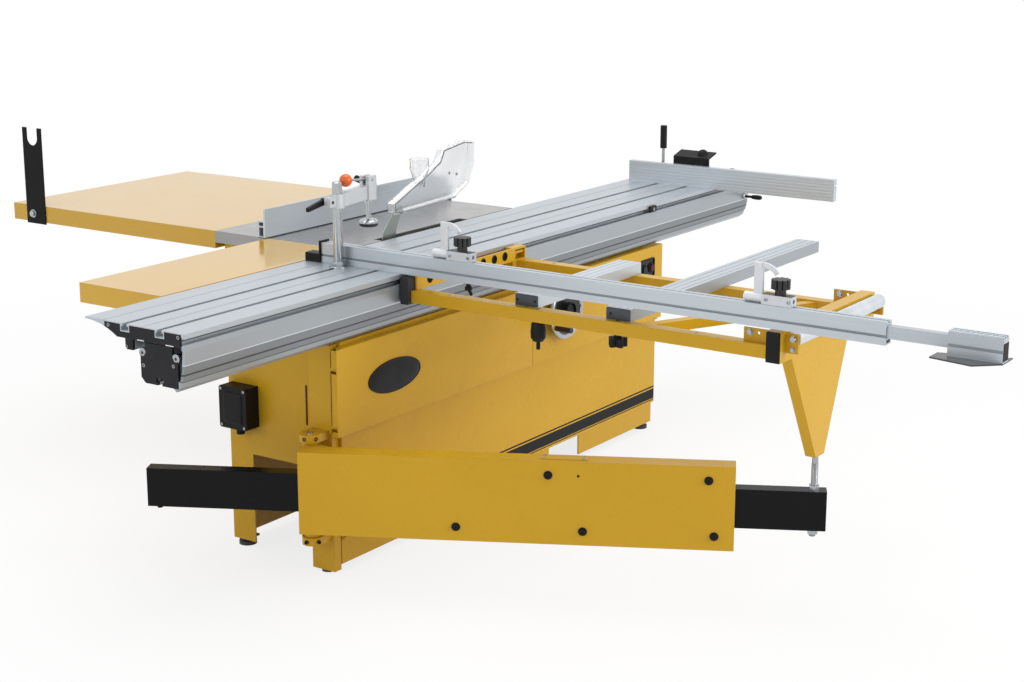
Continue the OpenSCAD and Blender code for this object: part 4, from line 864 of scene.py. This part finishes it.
def flip_flag(name, node, body):
    """Flag of a flip stop: a plate on a hub, with a curved lug reaching over the knob."""
    flag = Piece(name, body, "aluminium", flag_alu)
    end_x = edge(node, "x", 1)
    y = mid(node, "y")
    hub = edge(node, "y", 1) - y
    hub_z = edge(node, "z", 0) + hub
    top = edge(node, "z", 1)
    flag.turned((end_x, y, hub_z), (-1, 0, 0),
                [(hub - 1.5, 0), (hub, 1.5), (hub, FLAG_HUB - 1), (hub - 1, FLAG_HUB),
                 (FLAG_PIN[0], FLAG_HUB), FLAG_PIN])
    flag.slab((end_x - FLAG_PLATE[1], y - FLAG_HALF, hub_z),
              (end_x - FLAG_PLATE[0], y + FLAG_HALF, top), 2.0)
    sweep = LUG_TURN[1] - LUG_TURN[0]
    turns = [math.radians(LUG_TURN[0] + sweep * i / LUG_STEPS) for i in range(LUG_STEPS + 1)]
    inner, outer = LUG_RADIUS
    lug = [(outer * math.cos(turn), -outer * math.sin(turn)) for turn in turns]
    lug += [(inner * math.cos(turn), -inner * math.sin(turn)) for turn in reversed(turns)]
    flag.loft((end_x - FLAG_PLATE[1] + 1, y - FLAG_HALF, top - outer), (0, 1, 0),
              [(lug, 0), (lug, 2 * FLAG_HALF)], side=(1, 0, 0))
    flag.done(node)


flip_flag("inner_flag", "inner_stop_flag", "flag_near")
flip_flag("outer_flag", "outer_stop_flag", "flag_far")

# Ribs along the top of the extension's end block
END_BLOCK = 145.0
RIB_SHARES = (0.1, 0.5, 0.9)
RIB_HALF = 2.0
RIB_HEIGHT = 5.0
ribs = Piece("end_block_ribs", "extension", "aluminium", alu_x_lit)
for share in RIB_SHARES:
    rib_y = fence_back + share * (fence_front - fence_back)
    ribs.slab((block_x + 1, rib_y - RIB_HALF, block_top - 0.5),
              (block_x + END_BLOCK - 1, rib_y + RIB_HALF, block_top + RIB_HEIGHT), 1.0)
ribs.done()

# Dark grommets in the side rail's holes
RAIL_HOLES = (582.0, 301.0, 239.0, 180.0)
HOLE_DROP = 24.0
GROMMET = ((10.6, -3), (11, 1.4), (13.6, 1.4), (14.5, 0.8), (14.5, -0.1))
GROMMET_FLOOR = ((10.6, -4.5), (10.6, -3.4))
grommets = Piece("rail_grommets", "carriage_table", "black_plastic", plastic)
for y in RAIL_HOLES:
    spot = (rail_face, y, TABLE_Z - HOLE_DROP)
    grommets.turned(spot, (-1, 0, 0), GROMMET, closed=True)
    grommets.turned(spot, (-1, 0, 0), GROMMET_FLOOR)
grommets.done()

# Blade guard: pivot bolt and front screw on both cheeks
GUARD_PIN = (176.0, 965.0)
GUARD_FRONT = (-135.0, 1052.0)
GUARD_HALF = 16.0
fittings = Piece("guard_fittings", "guard", "steel", steel)
for out in (-1, 1):
    cheek = out * GUARD_HALF
    hex_bolt(fittings, (cheek, *GUARD_PIN), (out, 0, 0), 6.5, 4.0, 8.5)
    socket_screw(fittings, (cheek, *GUARD_FRONT), (out, 0, 0), 5.0, 3.0)
fittings.done()

# Stop shoe in the table's side slot
SHOE_Y = (-851.0, -804.0)
SHOE_DROP = (29.0, 6.0)
SHOE_SCREW = (-828.0, 18.0)
SHOE_DEPTH = 8.0
shoe = Piece("side_slot_shoe", "carriage_table", "black_plastic", plastic, steel)
shoe.slab((table_side - SHOE_DEPTH, SHOE_Y[0], TABLE_Z - SHOE_DROP[0]),
          (table_side - CLEAR, SHOE_Y[1], TABLE_Z - SHOE_DROP[1]), 2.5)
socket_screw(shoe, (table_side - SHOE_DEPTH, SHOE_SCREW[0], TABLE_Z - SHOE_SCREW[1]),
             (-1, 0, 0), 6.0, 3.5, 1)
shoe.done()

# Lock lever at the table's far end: a steel boss and a black handle
LOCK_AT = (-1560.0, 813.0)
LOCK_BOSS = ((12, -6), (12, 5), (9, 8))
LOCK_HANDLE = ((5, 0), (5, 26), (8, 30), (9.5, 48), (9, 64), (6, 70))
lock = Piece("table_lock_lever", "carriage_table", "black_plastic", plastic, steel)
lock.turned((table_side, *LOCK_AT), (-1, 0, 0), LOCK_BOSS, 1)
lock.turned((table_side - LOCK_BOSS[-1][1], *LOCK_AT), (-1, 0, 0), LOCK_HANDLE)
lock.done()

# Stop knob on a strap behind the end fence
STRAP_X = (-494.0, -463.0)
STRAP_RISE = (26.0, 34.0)
STRAP_START = 50.0
STRAP_LENGTH = 40.0
KNOB_X = -478.0
KNOB_BACK = 24.0
KNOB_STUD = 16.0
KNOB = ((9, 0), (14.5, 3), (15, 20), (13, 27), (8, 29))
strap_y = edge("end_fence", "y", 0) + STRAP_START
strap_top = TABLE_Z + STRAP_RISE[1]
knob_spot = (KNOB_X, strap_y - KNOB_BACK)
knob = Piece("end_fence_knob", "carriage_table", "black_plastic", plastic, steel)
knob.slab((STRAP_X[0], strap_y - STRAP_LENGTH, TABLE_Z + STRAP_RISE[0]),
          (STRAP_X[1], strap_y, strap_top), 1.5, 1)
knob.turned((*knob_spot, strap_top), (0, 0, 1), [(5, 0), (5, KNOB_STUD)], 1)
knob.turned((*knob_spot, strap_top + KNOB_STUD), (0, 0, 1), KNOB)
knob.done()

# Hub caps of the handwheels
HUB_OUT = 14.0
HUB_CAP = ((23, -0.5), (23, 2), (21.5, 3.5), (18, 4), (17, 3), (10, 3.4), (4, 3.6))
HUB_RING = ((27, 8), (29.5, 8), (29.5, -9), (27, -9))


def hub_cap(name, body, spot, along):
    """Cap on a handwheel's hub, with a ring round it."""
    cap = Piece(name, body, "black_plastic", plastic)
    cap.turned(spot, along, HUB_CAP)
    cap.turned(spot, along, HUB_RING, closed=True)
    cap.done()


lift_hub = (lift_plane - HUB_OUT, LIFT_CENTRE["y"], LIFT_CENTRE["z"])
tilt_hub = (TILT_CENTRE["x"], tilt_plane - HUB_OUT, TILT_CENTRE["z"])
hub_cap("lift_hub_cap", "lift_wheel", lift_hub, (-1, 0, 0))
hub_cap("tilt_hub_cap", "tilt_wheel", tilt_hub, (0, -1, 0))

# Swing arm: washers and bolts over the roller axles, screws in the cover plate
ARM_TURN = math.radians(208)
arm_along = Vector((math.cos(ARM_TURN), math.sin(ARM_TURN), 0))
arm_across = Vector((-math.sin(ARM_TURN), math.cos(ARM_TURN), 0))


def on_arm(along, across, z):
    """Point given along and across the arm from its hinge, and by height."""
    return Vector((*pivot, z)) + arm_along * along + arm_across * across


ARM_FRONT = -108.0
AXLE_HEAD = 5.0
AXLE_Z = (215.5, 382.5)
AXLES = ((448, 0), (716, 1), (817, 0), (1175, 1), (1194, 0))
AXLE_WASHER = ((11.2, 0), (13, 0), (13, 1.2), (12.4, 2), (11.2, 2))
COVER_ALONG = (703, 817)
COVER_ACROSS = (-88, -64)
arm_top = edge("swing_arm", "z", 1)
arm_bolts = Piece("arm_bolts", "arm", "dark_steel", plastic, steel)
for along, level in AXLES:
    spot = on_arm(along, ARM_FRONT, AXLE_Z[level])
    arm_bolts.turned(spot, -arm_across, AXLE_WASHER, closed=True)
    socket_screw(arm_bolts, spot - arm_across * AXLE_HEAD, -arm_across, 9.0, 4.0)
for along in COVER_ALONG:
    for across in COVER_ACROSS:
        socket_screw(arm_bolts, on_arm(along, across, arm_top), (0, 0, 1), 4.5, 2.0, 1)
arm_bolts.done()

# Thread on the support rod, either side of its nuts
ROD_RADIUS = 9.0
CREST = ROD_RADIUS + 1.1
ROOT = ROD_RADIUS + 0.1
PITCH = 2.5
NUT_TOP = 372.0
THREAD_TURNS = (3, 26)
rod_spot = (mid("support_rod", "x"), mid("support_rod", "y"))
thread_starts = (edge("support_rod", "z", 0) + 1, NUT_TOP)
thread = Piece("rod_thread", "rod", "steel", steel)
for low, count in zip(thread_starts, THREAD_TURNS):
    profile = [(ROD_RADIUS - CLEAR, 0.0)]
    for i in range(count):
        profile.append((CREST, (i + 0.45) * PITCH))
        profile.append((CREST, (i + 0.55) * PITCH))
        profile.append((ROOT, (i + 1.0) * PITCH))
    profile.append((ROD_RADIUS - CLEAR, count * PITCH + 0.1))
    thread.turned((*rod_spot, low), (0, 0, 1), profile, 0, 24)
thread.done()

# Bearing rings on the ends of the guide rods
RING = ((9.1, 0), (12.5, 0), (13, 1), (13, 13), (12.5, 14), (9.1, 14))
RING_BACK = 0.4
rings = Piece("rod_end_rings", "cabinet", "steel", chrome)
for end, out in ENDS_OUT:
    for x in guide_x:
        spot = (x, edge("guide_rods", "y", end) - out * RING_BACK, guide_z)
        rings.turned(spot, (0, -out, 0), RING, closed=True)
rings.done()

# Splinter block of the crosscut fence: an upright plate with a low foot
SPLINTER_PLATE = 6.0
SPLINTER_FOOT = (40.0, 27.0)
SPLINTER_SCREWS = (16.0, 46.0)
SCREW_IN = 9.0
splint_x = ends("fence_end_block", "x")
splint_y = ends("fence_end_block", "y")
splint_z = ends("fence_end_block", "z")
plate_face = splint_x[0] + SPLINTER_PLATE
splinter = Piece("splinter_block", "fence", "black_plastic", plastic, steel)
splinter.slab((splint_x[0], splint_y[0], splint_z[0]), (plate_face, splint_y[1], splint_z[1]), 1.2)
splinter.slab((plate_face - 1, splint_y[1] - SPLINTER_FOOT[0], splint_z[0]),
              (splint_x[1], splint_y[1], splint_z[0] + SPLINTER_FOOT[1]), 2.5)
for rise in SPLINTER_SCREWS:
    spot = (plate_face, splint_y[0] + SCREW_IN, splint_z[0] + rise)
    socket_screw(splinter, spot, (1, 0, 0), 4.0, 2.5, 1)
splinter.done("fence_end_block")

# Hold-down post on a flanged nut
POST_RADIUS = 15.5
POST_CHAMFER = (2.5, 3.0)
POST_FOOT = 16.0
FLANGE = ((30, 0), (30, 3), (28, 4.5), (22, 5))
FLANGE_TOP = 4.5
NUT = ((21, 0, 6), (21, 11, 6), (18, 13))
post_spot = (mid("hold_down_post", "x"), mid("hold_down_post", "y"))
post_run = edge("hold_down_post", "z", 1) - TABLE_Z - POST_FOOT
post_profile = [(POST_RADIUS, 0), (POST_RADIUS, post_run - POST_CHAMFER[1]),
                (POST_RADIUS - POST_CHAMFER[0], post_run)]
post = Piece("hold_down_column", "carriage_table", "steel", chrome, steel)
post.turned((*post_spot, TABLE_Z), (0, 0, 1), FLANGE, 1)
post.turned((*post_spot, TABLE_Z + FLANGE_TOP), (0, 0, 1), NUT, 1, 24)
post.turned((*post_spot, TABLE_Z + POST_FOOT), (0, 0, 1), post_profile, steps=40)
post.done("hold_down_post")

# Clear guard: a rounded shell over the blade with a spigot on its back
GUARD_SIDE = (
    (206, 966), (140, 966), (-130, 976), (-150, 990), (-204, 1014), (-237, 1080), (-236, 1146),
    (-188, 1153), (-72, 1138), (-48, 1100), (26, 1064), (122, 1026), (206, 992),
)
GUARD_WALL = 3.0
GUARD_ROUND = ((4.0, 0.0), (1.2, 1.2), (0.0, 4.0))
SPIGOT_AT = (0.0, 55.0, 1031.0)
SPIGOT_WALL = 2.6
SPIGOT = ((18, 0), (20, 20), (27, 44), (33, 60), (33, 88), (34, 90), (34, 94))


def inset(outline, depth):
    """Outline moved inwards by the same depth on every side; the points run clockwise."""
    count = len(outline)
    result = []
    for i in range(count):
        here = Vector(outline[i])
        back = (here - Vector(outline[i - 1])).normalized()
        on = (Vector(outline[(i + 1) % count]) - here).normalized()
        inward = (Vector((-back.y, back.x)) + Vector((-on.y, on.x))).normalized()
        lean = max(0.35, Vector((-back.y, back.x)).dot(inward))
        result.append(tuple(here + inward * (depth / lean)))
    return result


shell = Piece("guard_shell", "guard", "clear_plastic", guard_look)
for depth, half in ((0.0, GUARD_HALF), (GUARD_WALL, GUARD_HALF - GUARD_WALL)):
    loops = [(inset(GUARD_SIDE, depth + extra), height) for extra, height in GUARD_ROUND]
    loops += [(outline, 2 * half - height) for outline, height in reversed(loops)]
    shell.loft((-half, 0, 0), (1, 0, 0), loops, side=(0, 1, 0), hollow=depth > 0.0)
bore = tuple((radius - SPIGOT_WALL, height) for radius, height in reversed(SPIGOT))
shell.turned(SPIGOT_AT, (0, 0, 1), SPIGOT + bore, steps=40, closed=True)
shell.done("blade_guard")


# Studio

FLOOR_NEAR = 0.80
SHADOW_REACH = (1.4, 4.2)


def seen_rays(tree):
    """1 for rays that show the background: camera, glossy and transmission rays."""
    path = tree.nodes.new("ShaderNodeLightPath")
    total = path.outputs["Is Camera Ray"]
    for kind in ("Is Glossy Ray", "Is Transmission Ray"):
        node = tree.nodes.new("ShaderNodeMath")
        node.operation = "MAXIMUM"
        tree.links.new(total, node.inputs[0])
        tree.links.new(path.outputs[kind], node.inputs[1])
        total = node.outputs[0]
    return total


def floor_material():
    """Pale floor that goes white away from the machine and keeps its shadow near it."""
    n = Nodes("studio_floor")
    tone = n.mix(n.span(n.noise(0.7, 2.0), 0.3, 0.7), (0.88, 0.88, 0.88), (0.91, 0.91, 0.91))
    n.finish(tone, 0.9, 0.0, ())
    glow = n.add("ShaderNodeEmission")
    blend = n.add("ShaderNodeMixShader")
    away = n.add("ShaderNodeVectorMath")
    away.operation = "LENGTH"
    n.link(n.coord, away.inputs[0])
    share = n.span(away.outputs["Value"], *SHADOW_REACH, FLOOR_NEAR, 1.0)
    n.link(n.math("MULTIPLY", seen_rays(n.tree), share), blend.inputs["Fac"])
    n.link(n.bsdf.outputs["BSDF"], blend.inputs[1])
    n.link(glow.outputs[0], blend.inputs[2])
    n.link(blend.outputs[0], n.out.inputs["Surface"])
    return n.mat


floor_mesh = bpy.data.meshes.new("studio_floor")
floor_bm = bmesh.new()
bmesh.ops.create_grid(floor_bm, x_segments=4, y_segments=4, size=40.0)
floor_bm.to_mesh(floor_mesh)
floor_bm.free()
floor = bpy.data.objects.new("studio_floor", floor_mesh)
floor.data.materials.append(floor_material())
bpy.context.collection.objects.link(floor)

WORLD_LIGHT = 0.55
world = bpy.data.worlds.new("studio_world")
world.use_nodes = True
bpy.context.scene.world = world
sky = world.node_tree
sky.nodes.clear()
sky_out = sky.nodes.new("ShaderNodeOutputWorld")
sky_mix = sky.nodes.new("ShaderNodeMixShader")
for i, strength in enumerate((WORLD_LIGHT, 1.0)):
    shade = sky.nodes.new("ShaderNodeBackground")
    shade.inputs["Color"].default_value = (1.0, 1.0, 1.0, 1.0)
    shade.inputs["Strength"].default_value = strength
    sky.links.new(shade.outputs[0], sky_mix.inputs[1 + i])
sky.links.new(seen_rays(sky), sky_mix.inputs["Fac"])
sky.links.new(sky_mix.outputs[0], sky_out.inputs["Surface"])


def area_light(name, place, target, size, power):
    """Softbox that faces its target and isn't seen by the camera."""
    data = bpy.data.lights.new(name, "AREA")
    data.shape = "RECTANGLE"
    data.size, data.size_y = size
    data.energy = power
    lamp = bpy.data.objects.new(name, data)
    lamp.visible_camera = False
    bpy.context.collection.objects.link(lamp)
    lamp.location = place
    lamp.rotation_euler = (Vector(target) - Vector(place)).to_track_quat("-Z", "Y").to_euler()


area_light("key_softbox", (-6.0, -0.8, 2.6), (0.0, 0.2, 0.6), (4.0, 3.0), 165.0)
area_light("top_softbox", (0.5, 0.0, 6.0), (0.0, 0.0, 0.0), (6.0, 5.0), 185.0)
area_light("fill_softbox", (1.2, 4.6, 1.7), (0.0, 0.0, 0.7), (2.4, 1.6), 28.0)

# Camera: fitted to the photograph's straight edges

CAMERA_AT = (-3758.5, 5009.4, 2046.5)
CAMERA_YAW = 0.59866
CAMERA_PITCH = -0.24495
CAMERA_ROLL = 0.00084
FOCAL_PX = 1855.7
IMAGE_W = 1024.0
SENSOR = 36.0

cam_data = bpy.data.cameras.new("photo_camera")
cam_data.sensor_width = SENSOR
cam_data.lens = FOCAL_PX * SENSOR / IMAGE_W
cam_data.clip_end = 100.0
camera = bpy.data.objects.new("photo_camera", cam_data)
bpy.context.collection.objects.link(camera)
flat = math.cos(CAMERA_PITCH)
ahead = Vector((math.sin(CAMERA_YAW) * flat, -math.cos(CAMERA_YAW) * flat, math.sin(CAMERA_PITCH)))
right = ahead.cross(Vector((0.0, 0.0, 1.0))).normalized()
up = right.cross(ahead)
basis = Matrix((right, up, -ahead)).transposed().to_4x4()
roll = Matrix.Rotation(CAMERA_ROLL, 4, "Z")
camera.matrix_world = Matrix.Translation(at(*CAMERA_AT)) @ basis @ roll
bpy.context.scene.camera = camera
bpy.context.scene.view_settings.view_transform = "Standard"
